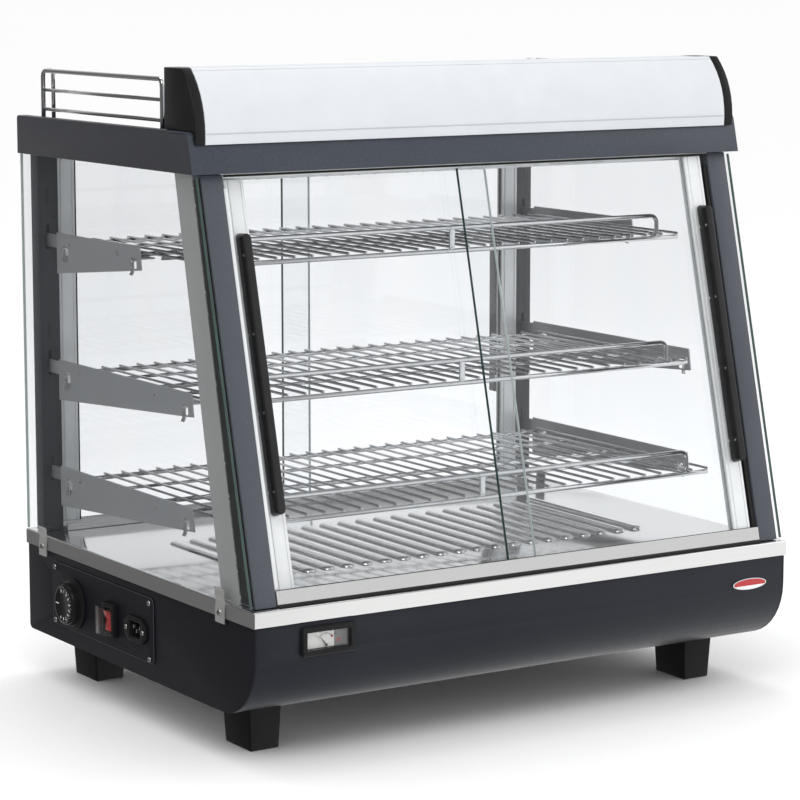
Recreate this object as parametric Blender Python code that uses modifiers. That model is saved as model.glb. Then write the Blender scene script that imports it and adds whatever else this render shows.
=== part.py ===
"""Countertop hot food display case: glazed cabinet with sliding doors on a heated base.

Frame: +Z up, front towards -Y, origin on the ground under the middle of the deck.
All lengths are in metres.
"""
import math

import bmesh
import bpy
from mathutils import Matrix, Vector

# ---- overall sizes ---------------------------------------------------------
DECK_WIDTH = 0.665          # stainless band around the deck, side to side
DECK_DEPTH = 0.509          # the same band, front to back
TOP_OVERHANG = 0.0065       # painted top beyond the band, each side
DECK_TOP = 0.1629           # height of the deck's upper face
TOP_BOTTOM = 0.5784         # height of the underside of the painted top
TOP_HEIGHT = 0.0411         # height of the painted top
FRONT_SET_BACK = 0.1025     # how far the glazed front leans back over its height
GAP = 0.0003                # clearance between pieces that touch
CUT = 0.010                 # how far a cutter reaches past what it cuts

# ---- base ------------------------------------------------------------------
BAND_HEIGHT = 0.0165
BASE_INSET = 0.002          # housing inside the band, on every side
BASE_BOTTOM = 0.0503
BASE_SHEET = 0.0012
FRONT_CURVE = 0.066         # radius under the front of the housing
REAR_CURVE = 0.006
SEAM_BEHIND = 0.020         # from the end of the front curve to the seam with the rear pan
FOOT_HEIGHT = 0.050
FOOT_WIDTH = 0.0334         # across, at the ground
FOOT_DEPTH = 0.051
FOOT_FLARE = 0.0025         # how much wider the foot is at its top, each side
FOOT_SIDE_INSET = 0.0411    # foot inside the band's side
FOOT_FRONT_INSET = 0.0815   # foot's front behind the band's front
FOOT_REAR_INSET = 0.0865    # rear foot's front ahead of the band's back

# ---- deck ribs -------------------------------------------------------------
RIB_COUNT = 21
RIB_PITCH = 0.0234
RIB_WIDTH = 0.0125
RIB_HEIGHT = 0.0035
RIB_TAPER = 0.45            # crown of a rib as a share of its width
RIB_END_TAPER = 0.96        # and of its length
RIB_FRONT_INSET = 0.1345    # plain deck in front of the ribs
RIB_REAR_INSET = 0.1625     # plain deck behind them

# ---- posts and glass -------------------------------------------------------
POST_SIDE_INSET = 0.007     # posts inside the band's sides
POST_WIDTH = 0.024
POST_DEPTH = 0.034
POST_WALL = 0.0015
POST_INSET = 0.008          # behind the slanted front plane
REAR_POST_WIDTH = 0.0235
REAR_POST_DEPTH = 0.018
REAR_POST_INSET = 0.0145    # rear post inside the band's back
GLASS = 0.004
GLASS_SEAT = 0.006          # how deep a pane sits in its stile
SIDE_GLASS_FRONT = 0.0080   # front edge of the side glass behind the front plane
SIDE_GLASS_REAR = 0.0025    # rear edge of the side glass inside the band's back
SIDE_GLASS_STAND = 0.0028   # between the side glass and the outer faces of the posts
SLOT_WIDTH = 0.0035
SLOT_HEIGHT = 0.014

# ---- rails and tracks ------------------------------------------------------
RAIL_HEIGHT = 0.0095        # along the slope, over its rear lower edge
TRACK_BASE = 0.003
TRACK_LIP = 0.005
TRACK_WALL = 0.0016
UPPER_TRACK = 0.012

# ---- doors -----------------------------------------------------------------
DOOR_SIDE_GAP = 0.009       # between a closed front door and its post
REAR_DOOR_SIDE_GAP = 0.0015
DOOR_OVERLAP = 0.0225       # each door's reach past the middle
STILE_WIDTH = 0.0225
STILE_DEPTH = 0.010
DOOR_CLEARANCE = 0.0045     # between the stiles of two doors that pass
DOOR_START = 0.0095         # outer stile's face behind the front plane
HANDLE_WIDTH = 0.010
HANDLE_EDGE = 0.0100        # from the stile's outer edge to the middle of the handle
HANDLE_DEPTH = 0.016
HANDLE_END = 0.0555         # upper end of the handle below the painted top, along the slope
HANDLE_START = 0.0905       # lower end of the handle along the slope
REAR_DOOR_INSET = 0.0150    # outer rear stile's outer face inside the band's back
REAR_HANDLE_LENGTH = 0.200
REAR_HANDLE_START = 0.1071  # lower end of the rear grip above the deck

# ---- top -------------------------------------------------------------------
CAP_THICKNESS = 0.012
CAP_BACK_INSET = 0.0105     # caps inside the band's back
CAP_ROUND = 0.003           # rounding of a cap's rear upper corner
TOP_RECESS = 0.022          # how far the top plate lies below the caps
PLATE_FRONT_GAP = 0.004     # behind the fascia's face
PLATE_BACK_INSET = 0.002
FASCIA_SHEET = 0.0015
FASCIA_RADIUS = 0.008
FASCIA_RETURN = 0.030       # how far the fascia reaches back over the top
FASCIA_HEM = 0.0084         # how far it folds back underneath
LIGHT_SIDE_INSET = 0.0055   # header inside the caps
LIGHT_END = 0.0115
LIGHT_DEPTH = 0.067         # header's back behind the top's front lower edge
LIGHT_RISE = 0.0615         # header above the caps
LIGHT_TOP_SET_BACK = 0.032  # upper edge of the diffuser behind the top's front lower edge
LIGHT_DROP = 0.0125         # lower edge of the diffuser below the caps' upper face
LIGHT_PROUD = 0.00305       # lower edge of the diffuser in front of the fascia's face
LIGHT_BULGE = 0.0095
LIGHT_SHEET = 0.002
LIGHT_SEAM = 0.0035         # the back sheet starts this far behind the diffuser's top edge
LIGHT_FLOOR = 0.012         # and ends this far behind its lower edge
LAMP_RADIUS = 0.008
LAMP_DROP = 0.0347          # lamp below the header's top
GUARD_SIDE_INSET = 0.018    # guard rail's outer legs inside the caps' outer faces
GUARD_WIRE = 0.005
GUARD_RISE = 0.051          # guard rail above the caps
GUARD_REAR_INSET = 0.030    # rear legs inside the caps' backs
GUARD_FRONT_SET_BACK = 0.094
GUARD_RETURN = 0.012
GUARD_STEP = 0.0205
GUARD_THIN = 0.8            # lower rods as a share of the leg
SOFT = 0.92                 # a welded cross piece as a share of the bar it meets

# ---- shelves and brackets --------------------------------------------------
SHELF_SIDE_INSET = 0.0255   # shelf inside the outer faces of the posts
UPPER_SHELF_DROP = 0.0904   # top shelf's wires below the painted top
LOWER_SHELF_RISE = 0.0701   # bottom shelf's wires above the deck
MIDDLE_SHELF_DROP = 0.0105  # middle shelf below the middle between the two
SHELF_PLACES = {            # behind the front plane, ahead of the brackets' rear, bracket ahead of middle bar
    "upper": (0.0753, 0.009, 0.0425),
    "middle": (0.0893, 0.027, 0.1315),
    "lower": (0.0792, 0.029, 0.111),
}
SHELF_WIRE = 0.003
SHELF_ROD = 0.005
SHELF_PITCH = 0.0330
WELD = 0.0008               # how deep one bar sinks into the next
SHELF_GUARD = 0.0215
SHELF_LOOP = 0.027          # the guard rod's ends inside the shelf's ends
BRACKET_SIDE_INSET = 0.010  # bracket's plate inside the outer faces of the posts
BRACKET_SHEET = 0.0015
BRACKET_POST_GAP = 0.023    # bracket's plate ahead of the rear posts
BRACKET_RISE = 0.0065       # plate above the shelf's wires
BRACKET_REAR_DROP = 0.0445
BRACKET_FRONT_DROP = 0.024
BRACKET_LEDGE = 0.032
BRACKET_NOSE = 0.004        # slope of the plate's front edge
WINDOW = 0.011
WINDOW_DROP = 0.018         # middle of a hole below the plate's top
WINDOW_FRONT = 0.016
WINDOW_REAR = 0.022
LEDGE_FRONT = 0.030         # the ledge stops this far behind the plate's front
LEDGE_REAR = 0.038
HOOK_ROOT = 0.003
HOOK_REACH = 0.004          # hook inside the post's wall
HOOK_LOW = 0.010
HOOK_HIGH = 0.004

# ---- controls --------------------------------------------------------------
PLATE_Y = (-0.0460, 0.1895)
PLATE_BELOW = 0.031         # plate below and above the middle line of its controls
PLATE_ABOVE = 0.039
PLATE_SHEET = 0.001
PLATE_ROUND = 0.006
CONTROL_DROP = 0.0639       # middle line of the controls below the deck
KNOB_Y = 0.1375
KNOB_SKIRT_RADIUS = 0.0280
KNOB_RADIUS = 0.0225
KNOB_DEPTH = 0.0140
KNOB_SKIRT = 0.003
KNOB_BORE = 0.012
SPINDLE_IN_KNOB = 0.010
THERMOSTAT = (0.024, 0.036, 0.036)
SPINDLE_RADIUS = 0.003
SPINDLE_EASE = 0.0015       # round the spindle in both panels
SWITCH_Y = 0.0470
SWITCH_HEIGHT = 0.035
SWITCH_WIDTH = 0.026
SWITCH_BEZEL = 0.006
ROCKER_HEIGHT = 0.025
ROCKER_WIDTH = 0.014
ROCKER_TILT = math.radians(8)
ROCKER_PIN = 0.004          # rocker's axis behind the front of the bezel
ROCKER_EDGE = 0.0052        # rocker's ends in front of its axis
ROCKER_MIDDLE = 0.0022      # rocker's middle in front of its axis
ROCKER_BACK = 0.004         # rocker's back behind its axis
WELL_EASE = 0.0008          # round the rocker in its well
WELL_WALL_Y = 0.0022
WELL_WALL_Z = 0.0012
SWITCH_EASE = 0.0035        # panel openings beyond the rocker's sides
SWITCH_BODY = 0.016         # how deep the switch reaches into the housing
COVER_WIDTH = 0.020
COVER_HEIGHT = 0.030
COVER_DEPTH = 0.0085
COVER_WALL = 0.001
INLET_Y = -0.0085
INLET_WIDTH = 0.050
INLET_HEIGHT = 0.027
INLET_FLANGE = 0.003
SOCKET_WIDTH = 0.024
SOCKET_HEIGHT = 0.0165
SOCKET_DEPTH = 0.015
SOCKET_WALL = 0.002
SOCKET_FLOOR = 0.003
SOCKET_EASE = 0.0025        # panel openings beyond the socket's sides
INLET_EAR = 0.006           # half the height of an ear at its tip
INLET_TAPER = 0.011         # length of an ear
PIN_SETS = ((-0.007, 0.002), (0.0, -0.002), (0.007, 0.002))
PIN = 0.002
GAUGE_SIDE_INSET = 0.084    # middle of the thermometer inside the band's side
GAUGE_DROP = 0.0359         # and below the deck
GAUGE_WIDTH = 0.0620
GAUGE_HEIGHT = 0.0300
GAUGE_RIM = 0.005
GAUGE_EASE = 0.001          # opening in the housing, beyond the body
GAUGE_LENS = 0.001          # the body's wall round the dial
GAUGE_STAND = 0.004         # bezel in front of the housing
GAUGE_BODY = 0.016          # body behind the housing's face
GAUGE_DIAL = 0.004          # dial behind the housing's face
NEEDLE_LENGTH = 0.0120
NEEDLE_TAIL = 0.0015
NEEDLE_WIDTH = 0.0012
NEEDLE_SHEET = 0.0008
NEEDLE_REST = math.radians(-38)
BADGE_SIDE_INSET = 0.0505
BADGE_DROP = 0.0424
BADGE_WIDTH = 0.046
BADGE_HEIGHT = 0.0125
BADGE_SHEET = 0.0015

# ---- heating element -------------------------------------------------------
HEATER_RADIUS = 0.004
HEATER_DROP = 0.0429        # element below the deck
HEATER_SIDE_INSET = 0.1325  # end of a straight run inside the band's side
HEATER_TAIL = 0.040
HEATER_FRONT_INSET = 0.1545
HEATER_PITCH = 0.070
HEATER_RUNS = 4

# ---- values that follow from the sizes -------------------------------------
BAND_HALF = DECK_WIDTH / 2
FRONT_Y = -DECK_DEPTH / 2
BACK_Y = DECK_DEPTH / 2
BAND_BOTTOM = DECK_TOP - BAND_HEIGHT
BASE_TOP = BAND_BOTTOM - GAP
HOUSING_HALF = BAND_HALF - BASE_INSET
LEAN = math.atan2(FRONT_SET_BACK, TOP_BOTTOM - DECK_TOP)
SLOPE = math.hypot(FRONT_SET_BACK, TOP_BOTTOM - DECK_TOP)
HANDLE_LENGTH = SLOPE - HANDLE_START - HANDLE_END
DOOR_SPACING = STILE_DEPTH + DOOR_CLEARANCE     # from one door's plane to the next
FOOT_OUTER = BAND_HALF - FOOT_SIDE_INSET        # half the distance over the feet
FOOT_FRONT_Y = FRONT_Y + FOOT_FRONT_INSET
FOOT_REAR_Y = BACK_Y - FOOT_REAR_INSET
RIB_FRONT_Y = FRONT_Y + RIB_FRONT_INSET
RIB_REAR_Y = BACK_Y - RIB_REAR_INSET
POST_OUTER = BAND_HALF - POST_SIDE_INSET        # half the distance over the posts
POST_INNER = POST_OUTER - POST_WIDTH
REAR_POST_INNER = POST_OUTER - REAR_POST_WIDTH
REAR_POST_BACK = BACK_Y - REAR_POST_INSET
SIDE_GLASS_BACK = BACK_Y - SIDE_GLASS_REAR
DOOR_OUTER = POST_INNER - DOOR_SIDE_GAP
REAR_DOOR_OUTER = REAR_POST_INNER - REAR_DOOR_SIDE_GAP
REAR_DOOR_START = BACK_Y - REAR_DOOR_INSET
REAR_HANDLE_LOW = DECK_TOP + REAR_HANDLE_START
CAP_HALF = BAND_HALF + TOP_OVERHANG
CAP_TOP = TOP_BOTTOM + TOP_HEIGHT
CAP_BACK = BACK_Y - CAP_BACK_INSET
TOP_FRONT_Y = FRONT_Y + FRONT_SET_BACK          # front lower edge of the painted top
LIGHT_HALF = CAP_HALF - LIGHT_SIDE_INSET
LIGHT_BACK_Y = TOP_FRONT_Y + LIGHT_DEPTH
LIGHT_TOP = CAP_TOP + LIGHT_RISE
LIGHT_TOP_FRONT_Y = TOP_FRONT_Y + LIGHT_TOP_SET_BACK
LIGHT_LOW = CAP_TOP - LIGHT_DROP
LIGHT_LOW_FRONT_Y = TOP_FRONT_Y + (LIGHT_LOW - TOP_BOTTOM) * math.tan(LEAN) - LIGHT_PROUD
LAMP_Z = LIGHT_TOP - LAMP_DROP
GUARD_X = CAP_HALF - GUARD_SIDE_INSET
GUARD_TOP = CAP_TOP + GUARD_RISE
GUARD_REAR_Y = CAP_BACK - GUARD_REAR_INSET
GUARD_FRONT_Y = TOP_FRONT_Y + GUARD_FRONT_SET_BACK
SHELF_HALF = POST_OUTER - SHELF_SIDE_INSET
BRACKET_X = POST_OUTER - BRACKET_SIDE_INSET
BRACKET_REAR_Y = REAR_POST_BACK - REAR_POST_DEPTH - BRACKET_POST_GAP
UPPER_LEVEL = TOP_BOTTOM - UPPER_SHELF_DROP
LOWER_LEVEL = DECK_TOP + LOWER_SHELF_RISE
SHELF_LEVELS = {
    "upper": UPPER_LEVEL,
    "middle": (UPPER_LEVEL + LOWER_LEVEL) / 2 - MIDDLE_SHELF_DROP,
    "lower": LOWER_LEVEL,
}
CONTROL_Z = DECK_TOP - CONTROL_DROP
PLATE_Z = (CONTROL_Z - PLATE_BELOW, CONTROL_Z + PLATE_ABOVE)
GAUGE_X = GAUGE_SIDE_INSET - BAND_HALF
GAUGE_Z = DECK_TOP - GAUGE_DROP
BADGE_X = BAND_HALF - BADGE_SIDE_INSET
BADGE_Z = DECK_TOP - BADGE_DROP
HEATER_Z = DECK_TOP - HEATER_DROP
HEATER_HALF = BAND_HALF - HEATER_SIDE_INSET
HEATER_FRONT_Y = FRONT_Y + HEATER_FRONT_INSET
OUT, IN = "outer", "inner"

PARTS = "hot_food_display_case"
CUTTERS = "cutters"

COLOURS = {
    "dark_paint": ((0.10, 0.105, 0.12), 0.45, 0.2),
    "side_paint": ((0.05, 0.05, 0.06), 0.5, 0.1),
    "stainless": ((0.62, 0.62, 0.61), 0.3, 1.0),
    "chrome": ((0.75, 0.75, 0.75), 0.12, 1.0),
    "aluminium": ((0.82, 0.83, 0.85), 0.25, 1.0),
    "glass": ((0.85, 0.93, 0.90), 0.03, 0.0),
    "white_plastic": ((0.86, 0.88, 0.90), 0.4, 0.0),
    "black_plastic": ((0.02, 0.02, 0.022), 0.4, 0.0),
    "red_plastic": ((0.45, 0.03, 0.03), 0.25, 0.0),
    "clear_plastic": ((0.85, 0.8, 0.8), 0.15, 0.0),
    "needle_red": ((0.5, 0.02, 0.02), 0.4, 0.0),
    "heater_steel": ((0.35, 0.33, 0.31), 0.45, 1.0),
}


# ---- helpers ---------------------------------------------------------------
def clear_scene():
    for obj in list(bpy.data.objects):
        bpy.data.objects.remove(obj, do_unlink=True)


def collection(name):
    found = bpy.data.collections.get(name)
    if found is None:
        found = bpy.data.collections.new(name)
        bpy.context.scene.collection.children.link(found)
    return found


def finish(name):
    found = bpy.data.materials.get(name)
    if found is None:
        colour, roughness, metallic = COLOURS[name]
        found = bpy.data.materials.new(name)
        found.use_nodes = True
        shader = found.node_tree.nodes["Principled BSDF"]
        shader.inputs["Base Color"].default_value = (*colour, 1)
        shader.inputs["Roughness"].default_value = roughness
        shader.inputs["Metallic"].default_value = metallic
    return found


def add(name, mesh, paint=None, parent=None):
    """Put a mesh in the scene; with no paint it is a hidden cutter."""
    obj = bpy.data.objects.new(name, mesh)
    collection(PARTS if paint else CUTTERS).objects.link(obj)
    if paint:
        mesh.materials.append(finish(paint))
    else:
        obj.hide_render = True
        obj.display_type = "WIRE"
    obj.parent = parent
    return obj


def mesh_of(name, build):
    """A new mesh filled by build(bm)."""
    bm = bmesh.new()
    build(bm)
    mesh = bpy.data.meshes.new(name)
    bm.to_mesh(mesh)
    bm.free()
    return mesh


def cube_in(bm, low, high):
    """One closed box between two corners."""
    low, high = Vector(low), Vector(high)
    size = Matrix.Diagonal((*(high - low), 1))
    return bmesh.ops.create_cube(bm, size=1, matrix=Matrix.Translation((low + high) / 2) @ size)["verts"]


def box(name, low, high, paint=None, parent=None):
    return add(name, mesh_of(name, lambda bm: cube_in(bm, low, high)), paint, parent)


def boxes(name, corners, paint=None, parent=None):
    def build(bm):
        for low, high in corners:
            cube_in(bm, low, high)
    return add(name, mesh_of(name, build), paint, parent)


def rod(name, radius, start, end, paint=None, parent=None, sides=16):
    """A round bar from start to end."""
    start, end = Vector(start), Vector(end)
    turn = (end - start).to_track_quat("Z", "Y").to_matrix().to_4x4()
    place = Matrix.Translation((start + end) / 2) @ turn

    def build(bm):
        bmesh.ops.create_cone(bm, cap_ends=True, segments=sides, radius1=radius, radius2=radius,
                              depth=(end - start).length, matrix=place)
    obj = add(name, mesh_of(name, build), paint, parent)
    smooth(obj)
    return obj


def smooth(obj):
    obj.data.shade_smooth()
    obj.data.set_sharp_from_angle(angle=math.radians(35))


def arc(cy, cz, radius, start, end, steps):
    """Points on a circle, angles in degrees."""
    turns = [math.radians(start + (end - start) * i / steps) for i in range(steps + 1)]
    return [(cy + radius * math.cos(a), cz + radius * math.sin(a)) for a in turns]


ALONG_X = Matrix(((0, 0, 1, 0), (1, 0, 0, 0), (0, 1, 0, 0), (0, 0, 0, 1)))   # outline in Y and Z
ALONG_Y = Matrix(((1, 0, 0, 0), (0, 0, -1, 0), (0, 1, 0, 0), (0, 0, 0, 1)))  # outline in X and Z


def outline_curve(name, points, width, closed):
    curve = bpy.data.curves.new(name, "CURVE")
    curve.dimensions = "2D"
    curve.fill_mode = "BOTH" if closed else "NONE"
    curve.extrude = width / 2
    spline = curve.splines.new("POLY")
    spline.points.add(len(points) - 1)
    for point, (u, v) in zip(spline.points, points):
        point.co = (u, v, 0, 1)
    spline.use_cyclic_u = closed
    return curve


def mesh_from_curve(curve, place):
    """The curve's evaluated mesh with its caps welded, moved to its place."""
    guide = bpy.data.objects.new(curve.name, curve)
    bpy.context.scene.collection.objects.link(guide)
    bpy.context.view_layer.update()
    evaluated = guide.evaluated_get(bpy.context.evaluated_depsgraph_get())
    mesh = bpy.data.meshes.new_from_object(evaluated)
    bpy.data.objects.remove(guide, do_unlink=True)
    bm = bmesh.new()
    bm.from_mesh(mesh)
    bmesh.ops.remove_doubles(bm, verts=bm.verts, dist=0.00001)
    bmesh.ops.transform(bm, matrix=place, verts=bm.verts)
    bmesh.ops.recalc_face_normals(bm, faces=bm.faces)
    bm.to_mesh(mesh)
    bm.free()
    return mesh


def prism(name, points, low, high, paint=None, parent=None, along=ALONG_X):
    """A closed outline carried from low to high along one axis."""
    place = along @ Matrix.Translation((0, 0, (low + high) / 2))
    if along is ALONG_Y:
        place = along @ Matrix.Translation((0, 0, -(low + high) / 2))
    mesh = mesh_from_curve(outline_curve(name, points, high - low, True), place)
    return add(name, mesh, paint, parent)


def sheet(name, points, low, high, thickness, paint, parent=None):
    """A folded sheet: an open profile in Y and Z, carried across in X, with its thickness inwards."""
    place = ALONG_X @ Matrix.Translation((0, 0, (low + high) / 2))
    mesh = mesh_from_curve(outline_curve(name, points, high - low, False), place)
    obj = add(name, mesh, paint, parent)
    solid = obj.modifiers.new("thickness", "SOLIDIFY")
    solid.thickness = thickness
    solid.offset = -1
    solid.use_even_offset = True
    return obj


def tube(name, points, radius, paint, parent=None):
    """A round wire bent through the points."""
    curve = bpy.data.curves.new(name, "CURVE")
    curve.dimensions = "3D"
    curve.bevel_depth = radius
    curve.bevel_resolution = 2
    curve.use_fill_caps = True
    spline = curve.splines.new("POLY")
    spline.points.add(len(points) - 1)
    for point, place in zip(spline.points, points):
        point.co = (*place, 1)
    obj = add(name, mesh_from_curve(curve, Matrix.Identity(4)), paint, parent)
    smooth(obj)
    return obj


def combine(obj, other, operation):
    step = obj.modifiers.new(other.name, "BOOLEAN")
    step.operation = operation
    step.solver = "EXACT"
    step.object = other
    return obj


def cut(obj, other):
    return combine(obj, other, "DIFFERENCE")


def join(obj, other):
    return combine(obj, other, "UNION")


def round_edges(obj, width, segments=1):
    step = obj.modifiers.new("rounded", "BEVEL")
    step.width = width
    step.segments = segments
    step.limit_method = "ANGLE"
    step.angle_limit = math.radians(40)
    return obj


def pivot(name, place, turn=0.0):
    """An empty that a slanted or moving group hangs on."""
    empty = bpy.data.objects.new(name, None)
    collection(PARTS).objects.link(empty)
    empty.location = place
    empty.rotation_euler = (turn, 0, 0)
    return empty


def front_point(inset, up):
    """World Y and Z of a point behind the slanted front plane."""
    y = FRONT_Y + inset * math.cos(LEAN) + up * math.sin(LEAN)
    z = DECK_TOP - inset * math.sin(LEAN) + up * math.cos(LEAN)
    return y, z


def front_at(inset, height):
    """World Y of the plane that lies inset behind the front plane, at a height."""
    up = (height - DECK_TOP + inset * math.sin(LEAN)) / math.cos(LEAN)
    return front_point(inset, up)[0]


def sides():
    return (("left", -1), ("right", 1))


def span(side, near, far):
    """Low and high X of a piece that lies between two distances from the middle."""
    return (near, far) if side > 0 else (-far, -near)


# ---- base ------------------------------------------------------------------
def housing_outline():
    """Side view of the base housing, front to the left."""
    front = FRONT_Y + BASE_INSET
    back = BACK_Y - BASE_INSET
    points = [(back, BASE_TOP), (front, BASE_TOP)]
    points += arc(front + FRONT_CURVE, BASE_BOTTOM + FRONT_CURVE, FRONT_CURVE, 180, 270, 10)
    points += arc(back - REAR_CURVE, BASE_BOTTOM + REAR_CURVE, REAR_CURVE, 270, 360, 4)
    return points


def base_sides():
    inner = HOUSING_HALF - BASE_SHEET
    for word, side in sides():
        low, high = span(side, inner, HOUSING_HALF)
        panel = prism("base_side_" + word, housing_outline(), low, high, "side_paint")
        if side < 0:
            cut(panel, boxes("control_openings", control_openings(low, high)))
            cut(panel, rod("spindle_hole", SPINDLE_RADIUS + SPINDLE_EASE, (low - CUT, KNOB_Y, CONTROL_Z),
                           (high + CUT, KNOB_Y, CONTROL_Z)))


def control_openings(low, high):
    """The switch and inlet bodies pass through the left side panel and its plate."""
    switch = (ROCKER_WIDTH / 2 + SWITCH_EASE, ROCKER_HEIGHT / 2 + SWITCH_EASE)
    socket = (SOCKET_WIDTH / 2 + SOCKET_EASE, SOCKET_HEIGHT / 2 + SOCKET_EASE)
    found = []
    for y, (half_y, half_z) in ((SWITCH_Y, switch), (INLET_Y, socket)):
        found.append(((low - CUT, y - half_y, CONTROL_Z - half_z),
                      (high + CUT, y + half_y, CONTROL_Z + half_z)))
    return found


def gauge_box(name, inset, near, far, paint=None):
    """A block in the middle of the thermometer, inset from the bezel's edge."""
    half_x, half_z = GAUGE_WIDTH / 2 - inset, GAUGE_HEIGHT / 2 - inset
    return box(name, (GAUGE_X - half_x, near, GAUGE_Z - half_z),
               (GAUGE_X + half_x, far, GAUGE_Z + half_z), paint)


def base_shells():
    inner = HOUSING_HALF - BASE_SHEET - GAP
    front = FRONT_Y + BASE_INSET
    back = BACK_Y - BASE_INSET
    seam = front + FRONT_CURVE + SEAM_BEHIND
    curve = arc(front + FRONT_CURVE, BASE_BOTTOM + FRONT_CURVE, FRONT_CURVE, 180, 270, 10)
    wrap = sheet("base_front", [(front, BASE_TOP)] + curve + [(seam, BASE_BOTTOM)],
                 -inner, inner, BASE_SHEET, "dark_paint")
    smooth(wrap)
    cut(wrap, gauge_box("gauge_window", GAUGE_RIM - GAUGE_EASE, front - CUT, front + CUT))
    pan = [(seam + GAP, BASE_BOTTOM), (back - REAR_CURVE, BASE_BOTTOM)]
    pan += arc(back - REAR_CURVE, BASE_BOTTOM + REAR_CURVE, REAR_CURVE, 270, 360, 4)[1:]
    sheet("base_pan", pan + [(back, BASE_TOP)], -inner, inner, BASE_SHEET, "side_paint")


def deck():
    """The stainless deck: a tray turned upside down, with ribs pressed up in it."""
    low, high = (-BAND_HALF, FRONT_Y, BAND_BOTTOM), (BAND_HALF, BACK_Y, DECK_TOP)
    tray = box("deck_pan", low, high, "stainless")
    wall = BASE_SHEET
    hollow = box("deck_hollow", (low[0] + wall, low[1] + wall, low[2] - CUT),
                 (high[0] - wall, high[1] - wall, high[2] - wall))
    cut(tray, hollow)

    def build(bm):
        first = -(RIB_COUNT - 1) / 2 * RIB_PITCH
        for i in range(RIB_COUNT):
            rib_in(bm, first + i * RIB_PITCH)
    ribs = add("deck_ribs", mesh_of("deck_ribs", build))
    join(tray, ribs)


def rib_in(bm, x):
    """A long pressed rib with tapered sides and ends."""
    middle = (RIB_FRONT_Y + RIB_REAR_Y) / 2
    length = RIB_REAR_Y - RIB_FRONT_Y
    verts = cube_in(bm, (x - RIB_WIDTH / 2, middle - length / 2, DECK_TOP - BASE_SHEET / 2),
                    (x + RIB_WIDTH / 2, middle + length / 2, DECK_TOP + RIB_HEIGHT))
    for vert in verts:
        if vert.co.z > DECK_TOP:
            vert.co.x = x + (vert.co.x - x) * RIB_TAPER
            vert.co.y = middle + (vert.co.y - middle) * RIB_END_TAPER


def feet():
    for word, side in sides():
        for end, y in (("front", FOOT_FRONT_Y), ("rear", FOOT_REAR_Y)):
            low_x, high_x = span(side, FOOT_OUTER - FOOT_WIDTH, FOOT_OUTER)
            middle = Vector(((low_x + high_x) / 2, y + FOOT_DEPTH / 2, 0))

            def build(bm, low_x=low_x, high_x=high_x, y=y, middle=middle):
                top = FOOT_HEIGHT
                for vert in cube_in(bm, (low_x, y, 0), (high_x, y + FOOT_DEPTH, top)):
                    if vert.co.z > top / 2:
                        vert.co.x += math.copysign(FOOT_FLARE, vert.co.x - middle.x)
                        vert.co.y += math.copysign(FOOT_FLARE, vert.co.y - middle.y)
            name = f"foot_{end}_{word}"
            foot = add(name, mesh_of(name, build), "black_plastic")
            round_edges(foot, 0.0012)


# ---- posts, glass and tracks -----------------------------------------------
def hollow_post(name, low, high, shear, paint):
    """Four walls of a square tube, leaning back with height."""
    def build(bm):
        verts = cube_in(bm, low, high)
        ends = [f for f in bm.faces if abs(f.normal.z) > 0.5]
        bmesh.ops.delete(bm, geom=ends, context="FACES_ONLY")
        for vert in verts:
            vert.co.y += (vert.co.z - low[2]) * shear
    post = add(name, mesh_of(name, build), paint)
    solid = post.modifiers.new("wall", "SOLIDIFY")
    solid.thickness = POST_WALL
    solid.offset = -1
    solid.use_even_offset = True
    return post


def front_posts():
    low_z, high_z = DECK_TOP + 3 * GAP, TOP_BOTTOM - 3 * GAP
    depth = POST_DEPTH / math.cos(LEAN)
    start = front_at(POST_INSET, low_z)
    for word, side in sides():
        low_x, high_x = span(side, POST_INNER, POST_OUTER)
        hollow_post("front_post_" + word, (low_x, start, low_z), (high_x, start + depth, high_z),
                    math.tan(LEAN), "dark_paint")


def rear_posts():
    low_y = REAR_POST_BACK - REAR_POST_DEPTH
    for word, side in sides():
        low_x, high_x = span(side, REAR_POST_INNER, POST_OUTER)
        name = "rear_post_" + word
        post = hollow_post(name, (low_x, low_y, DECK_TOP + GAP), (high_x, REAR_POST_BACK, TOP_BOTTOM - GAP),
                           0.0, "dark_paint")
        slots = []
        middle = side * (BRACKET_X - BRACKET_SHEET / 2)
        for level in SHELF_LEVELS.values():
            slots.append(((middle - SLOT_WIDTH / 2, low_y - CUT, level - SLOT_HEIGHT),
                          (middle + SLOT_WIDTH / 2, low_y + CUT / 2, level + SLOT_HEIGHT)))
        cut(post, boxes(name + "_slots", slots))


def side_glass():
    low_z, high_z = DECK_TOP + GAP, TOP_BOTTOM - GAP
    points = [(front_at(SIDE_GLASS_FRONT, low_z), low_z), (SIDE_GLASS_BACK, low_z),
              (SIDE_GLASS_BACK, high_z), (front_at(SIDE_GLASS_FRONT, high_z), high_z)]
    for word, side in sides():
        low, high = span(side, POST_OUTER + SIDE_GLASS_STAND, POST_OUTER + SIDE_GLASS_STAND + GLASS)
        prism("side_glass_" + word, points, low, high, "glass")


def track_outline(y, z, upright):
    """Comb section that holds two sliding doors; upright is 1 for a floor track and -1 for a top one."""
    depth = 2 * DOOR_SPACING
    base = z + upright * TRACK_BASE
    tip = base + upright * TRACK_LIP
    points = [(y, z), (y, tip), (y + TRACK_WALL, tip), (y + TRACK_WALL, base)]
    middle = y + depth / 2
    points += [(middle - TRACK_WALL / 2, base), (middle - TRACK_WALL / 2, tip)]
    points += [(middle + TRACK_WALL / 2, tip), (middle + TRACK_WALL / 2, base)]
    points += [(y + depth - TRACK_WALL, base), (y + depth - TRACK_WALL, tip), (y + depth, tip), (y + depth, z)]
    return points


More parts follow.
